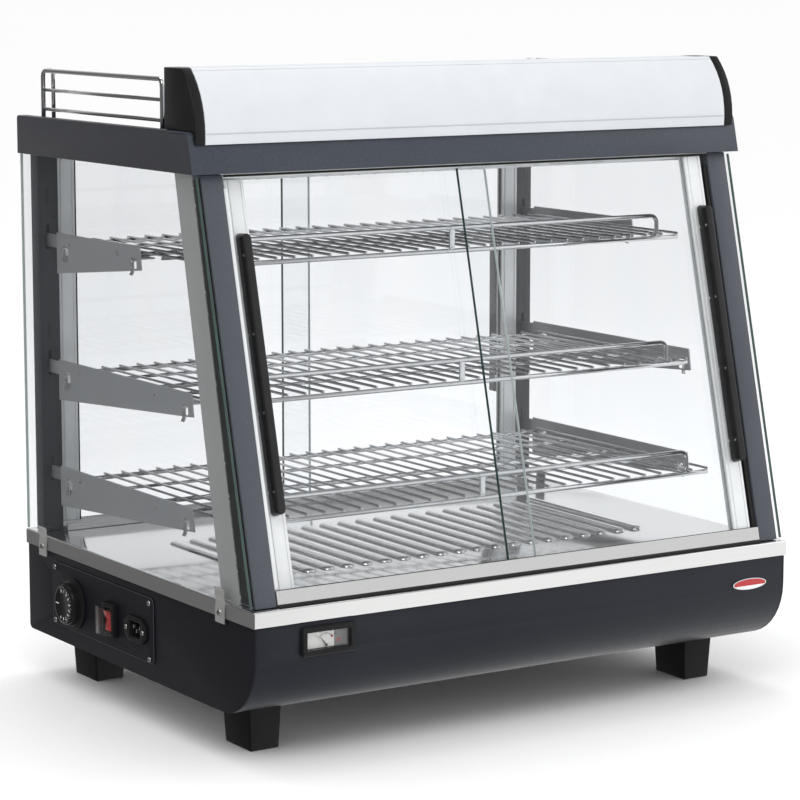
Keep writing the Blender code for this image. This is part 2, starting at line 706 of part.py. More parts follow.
def front_rails(slope):
    """Rail and tracks of the slanted front, in the slanted frame."""
    half = POST_INNER - GAP
    start = DOOR_START - (DOOR_SPACING - STILE_DEPTH) / 2
    depth = 2 * DOOR_SPACING
    lowest = (start + depth) * math.tan(LEAN) + GAP
    rail_top = lowest + RAIL_HEIGHT
    points = [(start, start * math.tan(LEAN) + 2 * GAP), (start, rail_top)]
    points += [(start + depth, rail_top), (start + depth, lowest)]
    prism("front_lower_rail", points, -half, half, "stainless", slope)
    top = SLOPE + start * math.tan(LEAN) - 2 * GAP
    prism("front_upper_track", track_outline(start, top, -1), -half, half, "black_plastic", slope)
    return rail_top, top


def rear_rails():
    half = REAR_POST_INNER - GAP
    start = REAR_DOOR_START - STILE_DEPTH - DOOR_SPACING - (DOOR_SPACING - STILE_DEPTH) / 2
    prism("rear_lower_track", track_outline(start, DECK_TOP + GAP, 1), -half, half, "aluminium")
    prism("rear_upper_track", track_outline(start, TOP_BOTTOM - GAP, -1), -half, half, "black_plastic")


# ---- doors -----------------------------------------------------------------
def door_span(side, outer):
    return (-outer, DOOR_OVERLAP) if side < 0 else (-DOOR_OVERLAP, outer)


def stile_span(side, outer):
    return (-outer, -outer + STILE_WIDTH) if side < 0 else (outer - STILE_WIDTH, outer)


def glazed_leaf(name, side, outer, face, bottom, top, parent):
    """A pane held in a groove of the aluminium stile along its outer edge; returns the stile."""
    low_x, high_x = door_span(side, outer)
    stile_low, stile_high = stile_span(side, outer)
    pane_low = face + (STILE_DEPTH - GLASS) / 2
    pane_high = pane_low + GLASS
    if side < 0:
        pane = (stile_high - GLASS_SEAT, high_x)
        groove = (stile_high - GLASS_SEAT - GAP, stile_high + CUT)
    else:
        pane = (low_x, stile_low + GLASS_SEAT)
        groove = (stile_low - CUT, stile_low + GLASS_SEAT + GAP)
    box(name + "glass", (pane[0], pane_low, bottom), (pane[1], pane_high, top), "glass", parent)
    stile = box(name + "stile", (stile_low, face, bottom), (stile_high, face + STILE_DEPTH, top),
                "aluminium", parent)
    cutter = box(name + "groove", (groove[0], pane_low - GAP, bottom - CUT),
                 (groove[1], pane_high + GAP, top + CUT), None, parent)
    return cut(stile, cutter)


def front_door(word, side, level, slope, bottom, top):
    """One leaning door: glass, an edge stile and a blade handle. The outer door is nearer the user."""
    face = DOOR_START + (0 if level == OUT else DOOR_SPACING)
    name = f"front_door_{word}_"
    glazed_leaf(name, side, DOOR_OUTER, face, bottom, top, slope)
    handle = blade(name + "handle", HANDLE_LENGTH, HANDLE_START, slope)
    handle.location = (side * (DOOR_OUTER - HANDLE_EDGE), face - GAP, 0)


def blade(name, length, start, parent):
    """A flat grip seen edge-on, round at both ends, standing off the stile towards -Y."""
    radius = HANDLE_DEPTH * 0.6
    points = [(0, start)]
    points += arc(-HANDLE_DEPTH + radius, start + radius, radius, 270, 180, 4)
    points += arc(-HANDLE_DEPTH + radius, start + length - radius, radius, 180, 90, 4)
    points += [(0, start + length)]
    return prism(name, points, -HANDLE_WIDTH / 2, HANDLE_WIDTH / 2, "black_plastic", parent)


def rear_door(word, side, level, base):
    """One upright rear door: glass and a stile with a grip on its outer face."""
    face = REAR_DOOR_START - (0 if level == OUT else DOOR_SPACING)
    bottom = DECK_TOP + TRACK_BASE + 2 * GAP
    top = TOP_BOTTOM - TRACK_BASE - 2 * GAP
    name = f"rear_door_{word}_"
    stile = glazed_leaf(name, side, REAR_DOOR_OUTER, face - STILE_DEPTH, bottom, top, base)
    low, high = span(side, REAR_DOOR_OUTER - STILE_WIDTH, REAR_DOOR_OUTER - STILE_WIDTH + HANDLE_WIDTH)
    grip = box(name + "grip", (low, face - 0.001, REAR_HANDLE_LOW),
               (high, face + HANDLE_DEPTH, REAR_HANDLE_LOW + REAR_HANDLE_LENGTH), None, base)
    join(stile, grip)


def doors(slope, bottom, top):
    for word, side in sides():
        slide = pivot("front_door_" + word + "_slide", (0, 0, 0))
        slide.parent = slope
        front_door(word, side, IN if side < 0 else OUT, slide, bottom, top)
        rear_door(word, side, OUT if side < 0 else IN, pivot("rear_door_" + word + "_slide", (0, 0, 0)))


# ---- top -------------------------------------------------------------------
def fascia_profile():
    """Outer face of the slanted fascia, from its lower lip over its rounded upper edge."""
    low = front_point(0, SLOPE)
    turn = math.degrees(LEAN)
    lean = math.tan(LEAN)
    radius = FASCIA_RADIUS
    centre_z = CAP_TOP - radius
    centre_y = low[0] + (centre_z - TOP_BOTTOM) * lean + radius / math.cos(LEAN)
    points = [(low[0] + FASCIA_HEM, TOP_BOTTOM), (low[0], TOP_BOTTOM)]
    points += arc(centre_y, centre_z, radius, 180 - turn, 90, 5)
    points += [(centre_y + FASCIA_RETURN, CAP_TOP)]
    return points


def fascia():
    piece = sheet("top_fascia", fascia_profile(), -CAP_HALF, CAP_HALF, FASCIA_SHEET, "dark_paint")
    smooth(piece)


def cap_outline():
    """Side view of a painted top cap, from behind the fascia to the rear."""
    lean = math.tan(LEAN)
    inset = FASCIA_SHEET / math.cos(LEAN) + GAP
    low_y = front_point(0, SLOPE)[0] + inset
    low_z = TOP_BOTTOM + FASCIA_SHEET + GAP
    lip_y = front_point(0, SLOPE)[0] + FASCIA_HEM + GAP
    radius = FASCIA_RADIUS - FASCIA_SHEET - GAP
    centre_z = CAP_TOP - FASCIA_RADIUS
    centre_y = front_point(0, SLOPE)[0] + (centre_z - TOP_BOTTOM) * lean + FASCIA_RADIUS / math.cos(LEAN)
    points = [(CAP_BACK, TOP_BOTTOM), (lip_y, TOP_BOTTOM), (lip_y, low_z)]
    points += [(low_y + (low_z - TOP_BOTTOM) * lean, low_z)]
    points += arc(centre_y, centre_z, radius, 180 - math.degrees(LEAN), 90, 5)
    fascia_end = centre_y + FASCIA_RETURN + GAP
    points += [(fascia_end, CAP_TOP - FASCIA_SHEET - GAP), (fascia_end, CAP_TOP)]
    points += arc(CAP_BACK - CAP_ROUND, CAP_TOP - CAP_ROUND, CAP_ROUND, 90, 0, 3)
    return points


def top_caps():
    for word, side in sides():
        low, high = span(side, CAP_HALF - CAP_THICKNESS, CAP_HALF)
        prism("top_cap_" + word, cap_outline(), low, high, "side_paint")


def top_plate():
    """Recessed plate with a fold down at the rear, between the caps."""
    half = CAP_HALF - CAP_THICKNESS - GAP
    level = CAP_TOP - TOP_RECESS
    start = front_at(0, level) + PLATE_FRONT_GAP
    back = CAP_BACK - PLATE_BACK_INSET
    points = [(start, level), (back, level), (back, TOP_BOTTOM + GAP)]
    sheet("top_plate", points, -half, half, BASE_SHEET, "side_paint")


def light_front(inset, steps=8):
    """The bowed front of the light box, low to high, inset from its outer face."""
    low = Vector((LIGHT_LOW_FRONT_Y, LIGHT_LOW))
    high = Vector((LIGHT_TOP_FRONT_Y, LIGHT_TOP))
    across = Vector((-(high - low).y, (high - low).x)).normalized()
    points = []
    for i in range(steps + 1):
        t = i / steps
        bow = 4 * LIGHT_BULGE * t * (1 - t) - inset
        points.append(tuple(low.lerp(high, t) + across * bow))
    return points


def light_box():
    inner = LIGHT_HALF - LIGHT_END
    clear = CAP_TOP + GAP
    for word, side in sides():
        low, high = span(side, inner, LIGHT_HALF)
        toe = front_at(0, LIGHT_LOW) - GAP
        points = light_front(0) + [(LIGHT_BACK_Y, LIGHT_TOP), (LIGHT_BACK_Y, clear)]
        points += [(toe, clear), (toe, LIGHT_LOW)]
        prism("light_end_" + word, points, low, high, "black_plastic")
    width = inner - GAP
    diffuser = sheet("light_diffuser", light_front(0), -width, width, LIGHT_SHEET, "white_plastic")
    smooth(diffuser)
    start = LIGHT_TOP_FRONT_Y + LIGHT_SEAM
    profile = [(start, LIGHT_TOP), (LIGHT_BACK_Y, LIGHT_TOP), (LIGHT_BACK_Y, clear)]
    profile += [(LIGHT_LOW_FRONT_Y + LIGHT_FLOOR, clear)]
    sheet("light_back", profile, -width, width, BASE_SHEET, "white_plastic")
    axis = ((LIGHT_BACK_Y + LIGHT_LOW_FRONT_Y) / 2, LAMP_Z)
    rod("lamp_tube", LAMP_RADIUS, (-width, *axis), (width, *axis), "white_plastic", sides=12)


def guard_rails():
    """Chrome wire rails that stop trays sliding off the top."""
    half = GUARD_WIRE / 2
    foot = CAP_TOP - TOP_RECESS + GAP
    for word, side in sides():
        x = side * GUARD_X
        inner = x - side * GUARD_RETURN
        name = "guard_rail_" + word
        legs = []
        for leg_x, leg_y in ((x, GUARD_REAR_Y), (inner, GUARD_REAR_Y), (x, GUARD_FRONT_Y)):
            legs.append(((leg_x - half, leg_y - half, foot), (leg_x + half, leg_y + half, GUARD_TOP)))
        frame = boxes(name, legs, "chrome")
        rods = []
        for step in range(3):
            z = GUARD_TOP - half - step * GUARD_STEP
            thick = half * (SOFT if step == 0 else GUARD_THIN)
            rods.append(((x - thick, GUARD_FRONT_Y, z - thick), (x + thick, GUARD_REAR_Y, z + thick)))
        join(frame, boxes(name + "_rods", rods))
        low_x, high_x = min(x, inner), max(x, inner)
        link = box(name + "_return", (low_x, GUARD_REAR_Y - half * SOFT, GUARD_TOP - half * (1 + SOFT)),
                   (high_x, GUARD_REAR_Y + half * SOFT, GUARD_TOP - half * (1 - SOFT)))
        join(frame, link)


# ---- shelves ---------------------------------------------------------------
def shelf(word, level, bars):
    """A welded wire shelf: bars across, wires front to back, and a guard rod along the front."""
    name = "shelf_" + word
    bar, wire = SHELF_ROD / 2, SHELF_WIRE / 2
    front, middle, rear = bars
    z = level - SHELF_WIRE - bar
    across = []
    for y in (front + bar, middle, rear - bar):
        across.append(((-SHELF_HALF, y - bar, z - bar), (SHELF_HALF, y + bar, z + bar)))
    guard_z = level + SHELF_GUARD
    reach = SHELF_HALF - SHELF_LOOP
    across.append(((-reach, front, guard_z - 2 * bar), (reach, front + 2 * bar, guard_z)))
    frame = boxes(name, across, "chrome")
    count = round((2 * SHELF_HALF - SHELF_WIRE) / SHELF_PITCH)
    step = (2 * SHELF_HALF - SHELF_WIRE) / count
    wires = []
    for i in range(count + 1):
        x = -SHELF_HALF + wire + i * step
        wires.append(((x - wire, front + WELD, level - SHELF_WIRE - WELD),
                      (x + wire, rear - WELD, level)))
    join(frame, boxes(name + "_wires", wires))
    uprights = []
    for x in (-reach + bar, 0.0, reach - bar):
        uprights.append(((x - bar * SOFT, front + WELD / 2, z),
                         (x + bar * SOFT, front + 2 * bar - WELD / 2, guard_z - WELD)))
    join(frame, boxes(name + "_uprights", uprights))


def bracket(word, side, level, front):
    """A pressed bracket that hooks into a rear post and carries a shelf on its ledge."""
    name = f"bracket_{word}_{'left' if side < 0 else 'right'}"
    top = level + BRACKET_RISE
    outline = [(front + BRACKET_NOSE, top), (BRACKET_REAR_Y, top),
               (BRACKET_REAR_Y, top - BRACKET_REAR_DROP), (front, top - BRACKET_FRONT_DROP)]
    low, high = span(side, BRACKET_X - BRACKET_SHEET, BRACKET_X)
    plate = prism(name, outline, low, high, "stainless")
    ledge_top = level - SHELF_WIRE - SHELF_ROD - GAP
    near, far = span(side, BRACKET_X - BRACKET_LEDGE, BRACKET_X - BRACKET_SHEET / 2)
    ledge = box(name + "_ledge", (near, front + LEDGE_FRONT, ledge_top - BRACKET_SHEET),
                (far, BRACKET_REAR_Y - LEDGE_REAR, ledge_top))
    join(plate, ledge)
    middle = top - WINDOW_DROP
    holes = []
    for y in (front + WINDOW_FRONT, BRACKET_REAR_Y - WINDOW_REAR):
        holes.append(((low - CUT, y - WINDOW / 2, middle - WINDOW / 2),
                      (high + CUT, y + WINDOW / 2, middle + WINDOW / 2)))
    cut(plate, boxes(name + "_holes", holes))
    near, far = span(side, BRACKET_X - BRACKET_SHEET * SOFT, BRACKET_X - BRACKET_SHEET * (1 - SOFT))
    reach = REAR_POST_BACK - REAR_POST_DEPTH + POST_WALL + HOOK_REACH
    hook = box(name + "_hook", (near, BRACKET_REAR_Y - HOOK_ROOT, level - HOOK_LOW),
               (far, reach, level + HOOK_HIGH))
    join(plate, hook)


def shelves():
    for word, (behind_front, before_rear, before_bar) in SHELF_PLACES.items():
        level = SHELF_LEVELS[word]
        front = front_at(0, level) + behind_front
        rear = BRACKET_REAR_Y - before_rear
        middle = (front + rear) / 2
        shelf(word, level, (front, middle, rear))
        for _, side in sides():
            bracket(word, side, level, middle - before_bar)


# ---- controls --------------------------------------------------------------
def control_plate():
    """Plate with rounded corners; returns where its outer face lies."""
    outer = -HOUSING_HALF - GAP
    low, high = outer - PLATE_SHEET, outer
    (front, back), (bottom, top), r = PLATE_Y, PLATE_Z, PLATE_ROUND
    points = arc(back - r, top - r, r, 0, 90, 3)
    points += arc(front + r, top - r, r, 90, 180, 3)
    points += arc(front + r, bottom + r, r, 180, 270, 3)
    points += arc(back - r, bottom + r, r, 270, 360, 3)
    plate = prism("control_plate", points, low, high, "side_paint")
    cut(plate, boxes("plate_openings", control_openings(low, high)))
    cut(plate, rod("plate_spindle_hole", SPINDLE_RADIUS + SPINDLE_EASE, (low - CUT, KNOB_Y, CONTROL_Z),
                   (high + CUT, KNOB_Y, CONTROL_Z)))
    return low


def knob_profile():
    """Half section of the dial, from the middle of its face to the middle of its back."""
    return [(0, KNOB_DEPTH), (KNOB_RADIUS * 0.80, KNOB_DEPTH), (KNOB_RADIUS * 0.94, KNOB_DEPTH - 0.0012),
            (KNOB_RADIUS, KNOB_DEPTH - 0.0045), (KNOB_RADIUS, KNOB_SKIRT),
            (KNOB_SKIRT_RADIUS, KNOB_SKIRT - 0.001), (KNOB_SKIRT_RADIUS, 0), (0, 0)]


def knob(face):
    """Turned dial: a thin skirt against the plate and a domed grip, bored for the spindle."""
    start = face - GAP

    def build(bm):
        verts = [bm.verts.new((r, 0, z)) for r, z in knob_profile()]
        for a, b in zip(verts, verts[1:]):
            bm.edges.new((a, b))
    dial = add("thermostat_knob", mesh_of("thermostat_knob", build), "black_plastic")
    turn = dial.modifiers.new("turned", "SCREW")
    turn.axis = "Z"
    turn.steps = turn.render_steps = 32
    turn.use_merge_vertices = True
    turn.merge_threshold = 0.00005
    bore = rod("knob_bore", SPINDLE_RADIUS + GAP, (0, 0, -CUT), (0, 0, KNOB_BORE), None, dial)
    cut(dial, bore)
    dial.location = (start, KNOB_Y, CONTROL_Z)
    dial.rotation_euler = (0, -math.pi / 2, 0)
    return start


def thermostat(knob_back):
    """Capillary thermostat behind the panel; its spindle reaches into the knob."""
    inside = -HOUSING_HALF + BASE_SHEET + GAP
    depth, width, height = THERMOSTAT
    body = box("thermostat_body", (inside, KNOB_Y - width / 2, CONTROL_Z - height / 2),
               (inside + depth, KNOB_Y + width / 2, CONTROL_Z + height / 2), "heater_steel")
    spindle = rod("thermostat_spindle", SPINDLE_RADIUS, (knob_back - SPINDLE_IN_KNOB, KNOB_Y, CONTROL_Z),
                  (inside + depth / 6, KNOB_Y, CONTROL_Z))
    join(body, spindle)


def control_box(name, y, half_y, half_z, near, far, paint=None):
    """A block on the control plate's middle line, between two distances along X."""
    return box(name, (near, y - half_y, CONTROL_Z - half_z), (far, y + half_y, CONTROL_Z + half_z), paint)


def switch(face):
    """Rocker switch: a bezel and body through the plate, a rocker on a cross pin, a clear splash cover."""
    out = face - GAP
    front = out - SWITCH_BEZEL
    well_y, well_z = ROCKER_WIDTH / 2 + WELL_EASE, ROCKER_HEIGHT / 2 + WELL_EASE
    inner_end = -HOUSING_HALF + SWITCH_BODY
    bezel = control_box("switch_housing", SWITCH_Y, SWITCH_WIDTH / 2, SWITCH_HEIGHT / 2,
                        front, out, "black_plastic")
    join(bezel, control_box("switch_body", SWITCH_Y, well_y + WELL_WALL_Y, well_z + WELL_WALL_Z,
                            out - WELL_EASE, inner_end))
    cut(bezel, control_box("switch_well", SWITCH_Y, well_y, well_z, front - CUT, inner_end - SOCKET_WALL))
    rocker(front + ROCKER_PIN)
    cover(front - GAP)


def rocker(axis_x):
    """A shallow V-faced rocker, stored pressed at its lower half."""
    half = ROCKER_HEIGHT / 2 - WELL_WALL_Z
    points = [(-ROCKER_EDGE, half), (-ROCKER_MIDDLE, 0), (-ROCKER_EDGE, -half),
              (ROCKER_BACK, -half * 0.55), (ROCKER_BACK, half * 0.55)]
    piece = prism("switch_rocker", points, -ROCKER_WIDTH / 2, ROCKER_WIDTH / 2, "red_plastic", None, ALONG_Y)
    piece.location = (axis_x, SWITCH_Y, CONTROL_Z)
    piece.rotation_euler = (0, -ROCKER_TILT, 0)


def cover(back):
    """Clear five-sided cap over the rocker, open towards the switch."""
    def build(bm):
        cube_in(bm, (back - COVER_DEPTH, SWITCH_Y - COVER_WIDTH / 2, CONTROL_Z - COVER_HEIGHT / 2),
                (back, SWITCH_Y + COVER_WIDTH / 2, CONTROL_Z + COVER_HEIGHT / 2))
        open_side = [f for f in bm.faces if f.normal.x > 0.5]
        bmesh.ops.delete(bm, geom=open_side, context="FACES_ONLY")
    cap = add("switch_cover", mesh_of("switch_cover", build), "clear_plastic")
    solid = cap.modifiers.new("wall", "SOLIDIFY")
    solid.thickness = COVER_WALL
    solid.offset = -1
    solid.use_even_offset = True


def flange_outline():
    """Eared flange of the inlet, in Y and Z."""
    half_y, half_z = INLET_WIDTH / 2, INLET_HEIGHT / 2
    quarter = ((half_y, INLET_EAR), (half_y - INLET_TAPER, half_z))
    points = [(-y, -z) for y, z in quarter] + [(y, -z) for y, z in reversed(quarter)]
    points += [(y, z) for y, z in quarter] + [(-y, z) for y, z in reversed(quarter)]
    return [(INLET_Y + y, CONTROL_Z + z) for y, z in points]


def inlet(face):
    """Three-pin appliance inlet: an eared flange, a socket and three flat pins."""
    out = face - GAP
    front = out - INLET_FLANGE
    end = front + SOCKET_DEPTH
    half_y, half_z = SOCKET_WIDTH / 2, SOCKET_HEIGHT / 2
    flange = prism("power_inlet", flange_outline(), front, out, "black_plastic")
    join(flange, control_box("inlet_body", INLET_Y, half_y + SOCKET_WALL, half_z + SOCKET_WALL,
                             out - INLET_FLANGE / 3, end + SOCKET_FLOOR))
    cut(flange, control_box("inlet_socket", INLET_Y, half_y, half_z, front - CUT, end))
    pins = []
    for y, z in PIN_SETS:
        pins.append(((front + INLET_FLANGE, INLET_Y + y - PIN / 2, CONTROL_Z + z - PIN),
                     (end + SOCKET_FLOOR / 3, INLET_Y + y + PIN / 2, CONTROL_Z + z + PIN)))
    join(flange, boxes("inlet_pins", pins))


def gauge():
    """Dial thermometer set in the front of the base, with its needle on a pin."""
    front = FRONT_Y + BASE_INSET
    back = front - GAP
    face = back - GAUGE_STAND
    case = gauge_box("thermometer_case", 0, face, back, "black_plastic")
    round_edges(case, BADGE_SHEET)
    join(case, gauge_box("gauge_body", GAUGE_RIM, back - GAUGE_LENS, front + GAUGE_BODY))
    dial_inset = GAUGE_RIM + GAUGE_LENS
    cut(case, gauge_box("gauge_recess", dial_inset, face - CUT, front + GAUGE_DIAL))
    half, thick = NEEDLE_WIDTH / 2, NEEDLE_SHEET / 2
    needle = box("thermometer_needle", (-half, -thick, -NEEDLE_TAIL), (half, thick, NEEDLE_LENGTH),
                 "needle_red")
    pin_z = GAUGE_Z - GAUGE_HEIGHT / 2 + dial_inset + NEEDLE_TAIL + GAUGE_LENS
    needle.location = (GAUGE_X, front + GAUGE_DIAL / 2, pin_z)
    needle.rotation_euler = (0, NEEDLE_REST, 0)


def badge():
    front = FRONT_Y + BASE_INSET - GAP
    points = []
    for i in range(24):
        turn = i * math.tau / 24
        points.append((BADGE_X + BADGE_WIDTH / 2 * math.cos(turn), BADGE_Z + BADGE_HEIGHT / 2 * math.sin(turn)))
    prism("badge", points, front - BADGE_SHEET, front, "red_plastic", None, ALONG_Y)


def heating_element():
    """A sheathed element bent into parallel runs under the deck."""
    radius = HEATER_PITCH / 2
    points = [(-HEATER_HALF - HEATER_TAIL, HEATER_FRONT_Y, HEATER_Z)]
    for i in range(HEATER_RUNS):
        y = HEATER_FRONT_Y + i * HEATER_PITCH
        forward = 1 if i % 2 == 0 else -1
        points.append((forward * HEATER_HALF, y, HEATER_Z))
        if i < HEATER_RUNS - 1:
            for u, v in arc(HEATER_HALF, y + radius, radius, -90, 90, 6)[1:]:
                points.append((forward * u, v, HEATER_Z))
    tail_y = HEATER_FRONT_Y + (HEATER_RUNS - 1) * HEATER_PITCH
    points.append((-HEATER_HALF - HEATER_TAIL, tail_y, HEATER_Z))
    tube("heating_element", points, HEATER_RADIUS, "heater_steel")


def build():
    clear_scene()
    base_sides()
    base_shells()
    deck()
    feet()
    front_posts()
    rear_posts()
    side_glass()
    slope = pivot("front_slope", (0, FRONT_Y, DECK_TOP), -LEAN)
    rail_top, track_top = front_rails(slope)
    rear_rails()
    doors(slope, rail_top + GAP, track_top - TRACK_BASE - GAP)
    fascia()
    top_caps()
    top_plate()
    light_box()
    guard_rails()
    shelves()
    face = control_plate()
    thermostat(knob(face))
    switch(face)
    inlet(face)
    gauge()
    badge()
    heating_element()


build()
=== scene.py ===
# %% [markdown]
# # A countertop hot food display case
# We start from the case's engineering model, loaded as a frame that never moves. Every piece made here sits
# in that frame, in metres: +Z is up, the glazed front faces -Y, and the ground is at z = 0. Each piece
# rides on one body of the frame, so the doors, the knob, the switch and the needle still move.

# %% Load the frame and measure it
import math

import bmesh
import bpy
from mathutils import Matrix, Vector


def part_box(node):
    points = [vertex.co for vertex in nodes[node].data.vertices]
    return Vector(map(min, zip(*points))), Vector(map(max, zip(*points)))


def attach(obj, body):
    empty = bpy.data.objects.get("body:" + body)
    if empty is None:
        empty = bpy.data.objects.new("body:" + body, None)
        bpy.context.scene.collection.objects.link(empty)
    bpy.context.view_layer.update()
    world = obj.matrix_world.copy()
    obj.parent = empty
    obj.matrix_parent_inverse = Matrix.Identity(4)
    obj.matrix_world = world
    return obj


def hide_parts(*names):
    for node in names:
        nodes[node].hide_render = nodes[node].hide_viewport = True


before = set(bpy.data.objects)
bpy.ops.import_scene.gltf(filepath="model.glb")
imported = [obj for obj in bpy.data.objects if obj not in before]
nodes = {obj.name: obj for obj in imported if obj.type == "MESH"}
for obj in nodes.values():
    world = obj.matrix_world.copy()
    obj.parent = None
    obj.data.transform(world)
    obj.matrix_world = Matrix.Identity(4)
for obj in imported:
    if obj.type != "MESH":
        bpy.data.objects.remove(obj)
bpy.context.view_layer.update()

# %% [markdown]
# The front of the case leans back. Most of its pieces are easiest to think of in a leaning frame: x across,
# "inset" behind the front plane and "up" along it. One matrix carries them into place.

# %% The main sizes and the leaning front
deck_low, deck_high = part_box("deck_pan")
rib_height = 0.0035
deck_top = deck_high.z - rib_height
band_half, band_bottom = deck_high.x, deck_low.z
front_y, back_y = deck_low.y, deck_high.y
top_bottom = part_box("top_fascia")[0].z
set_back = 0.1025
lean = math.atan2(set_back, top_bottom - deck_top)
slope_length = math.hypot(set_back, top_bottom - deck_top)
slope = Matrix.Translation((0, front_y, deck_top)) @ Matrix.Rotation(-lean, 4, "X")
post_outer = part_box("front_post_right")[1].x
post_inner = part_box("front_post_right")[0].x
print("deck top", round(deck_top, 4), "lean", round(math.degrees(lean), 2), "degrees")

# %% [markdown]
# ## Finishes
# Real finishes are never one flat colour. Each one below is a small node tree: powder coat has a fine
# orange peel and faint speckle, stainless has long grinding lines that pull its highlights out sideways,
# chrome has a trace of haze, and moulded plastic has a leathery grain. The patterns are read from object
# coordinates, which are metres here, so a scale of 1000 makes a millimetre.


def new_finish(name):
    """A material with one Principled shader."""
    material = bpy.data.materials.new(name)
    material.use_nodes = True
    tree = material.node_tree
    return material, tree, tree.nodes["Principled BSDF"]


def values(node, **sockets):
    """Plain values on a node's own sockets, named with _ for a space."""
    for word, value in sockets.items():
        socket = node.inputs[word.replace("_", " ")]
        socket.default_value = (*value, 1) if isinstance(value, tuple) and len(value) == 3 else value


def placed(tree, scale):
    """Object coordinates stretched by scale (x, y, z)."""
    where = tree.nodes.new("ShaderNodeTexCoord")
    mapping = tree.nodes.new("ShaderNodeMapping")
    mapping.inputs["Scale"].default_value = scale
    tree.links.new(where.outputs["Object"], mapping.inputs["Vector"])
    return mapping.outputs["Vector"]


def noise(tree, vector, scale, detail=3.0, rough=0.55):
    node = tree.nodes.new("ShaderNodeTexNoise")
    values(node, Scale=scale, Detail=detail, Roughness=rough)
    tree.links.new(vector, node.inputs["Vector"])
    return node.outputs["Fac"]


def spread(tree, fac, low, high, near=0.3, far=0.7):
    """A pattern from 0 to 1 turned into numbers from low to high."""
    node = tree.nodes.new("ShaderNodeMapRange")
    values(node, From_Min=near, From_Max=far, To_Min=low, To_Max=high)
    tree.links.new(fac, node.inputs["Value"])
    return node.outputs["Result"]


def shades(tree, fac, *stops):
    """A pattern turned into colours: stops are (place, colour)."""
    ramp = tree.nodes.new("ShaderNodeValToRGB")
    line = ramp.color_ramp
    while len(line.elements) < len(stops):
        line.elements.new(0.5)
    for element, (place, colour) in zip(line.elements, stops):
        element.position = place
        element.color = (*colour, 1)
    tree.links.new(fac, ramp.inputs["Fac"])
    return ramp.outputs["Color"]


def relief(tree, shader, fac, strength, distance, under=None):
    """Bump from a pattern; under is a first bump that this one lies on."""
    bump = tree.nodes.new("ShaderNodeBump")
    values(bump, Strength=strength, Distance=distance)
    tree.links.new(fac, bump.inputs["Height"])
    if under is not None:
        tree.links.new(under, bump.inputs["Normal"])
    tree.links.new(bump.outputs["Normal"], shader.inputs["Normal"])
    return bump.outputs["Normal"]


def grey(level):
    return (level, level, level)


print("finish helpers ready")

# %% [markdown]
# ** Powder coat.** The fascia, posts, caps and base wrap wear one charcoal powder with a bluish cast. Its copies below differ in lightness as painted light and shade: the front posts are lightest, the fascia, caps and rear posts darker, and the base wrap and the black coat of the end panels, pan, top plate and control plate darkest. Up close it has a pebbled skin about a millimetre across and tiny lighter specks. Each coat has two shades that drift into each other, a colour for the specks and its own gloss.

# %% Powder coats
def powder_coat(name, dark, light, rough, speck, gloss=0.5):
    material, tree, shader = new_finish(name)
    flat = placed(tree, (1, 1, 1))
    skin = noise(tree, flat, 560, 2.0)
    specks = noise(tree, flat, 950, 2.0)
    drift = noise(tree, flat, 7, 2.0)
    base = shades(tree, drift, (0.25, dark), (0.8, light))
    mix = tree.nodes.new("ShaderNodeMix")
    mix.data_type = "RGBA"
    mix.blend_type = "ADD"
    mix.inputs["B"].default_value = (*speck, 1)
    tree.links.new(spread(tree, specks, 0.0, 1.0, 0.55, 0.72), mix.inputs["Factor"])
    tree.links.new(base, mix.inputs["A"])
    tree.links.new(mix.outputs["Result"], shader.inputs["Base Color"])
    tree.links.new(spread(tree, skin, rough - 0.05, rough + 0.07), shader.inputs["Roughness"])
    relief(tree, shader, skin, 0.6, 0.0003)
    values(shader, Metallic=0.0, Specular_IOR_Level=gloss)
    return material


# Copies of one charcoal paint, lighter and darker as painted light and shade.
charcoal = powder_coat("charcoal_powder_coat", (0.053, 0.060, 0.076), (0.067, 0.075, 0.094),
                       0.40, (0.022, 0.023, 0.025))
fascia_coat = powder_coat("charcoal_fascia_powder_coat", (0.033, 0.040, 0.055),
                          (0.043, 0.051, 0.068), 0.40, (0.034, 0.036, 0.040), 0.45)
rear_coat = powder_coat("charcoal_rear_post_powder_coat", (0.024, 0.027, 0.034),
                        (0.032, 0.035, 0.043), 0.42, (0.010, 0.010, 0.011), 0.40)
base_charcoal = powder_coat("charcoal_base_powder_coat", (0.012, 0.0145, 0.021),
                            (0.017, 0.0195, 0.027), 0.36, (0.007, 0.007, 0.008), 0.20)
cap_coat = powder_coat("graphite_cap_powder_coat", (0.032, 0.033, 0.040),
                       (0.040, 0.041, 0.048), 0.42, (0.026, 0.027, 0.030), 0.42)
# The darkest copy: painted shade on the end panels, pan, top plate and control plate.
shaded_black_coat = powder_coat("black_powder_coat_painted_shade", (0.0078, 0.0078, 0.0118),
                         (0.0108, 0.0108, 0.0155), 0.46, (0.006, 0.006, 0.007), 0.26)
print("powder coats:", charcoal.name, shaded_black_coat.name)

# %% [markdown]
# **Brushed stainless and chrome.** Stainless sheet is ground in one direction. A noise squeezed hard along
# that direction gives the lines, and they drive both roughness and a very shallow bump. Chrome wire is
# drawn and plated, so it is nearly a mirror. The strips, brackets and clips are a satin sheet with less
# metal in it.

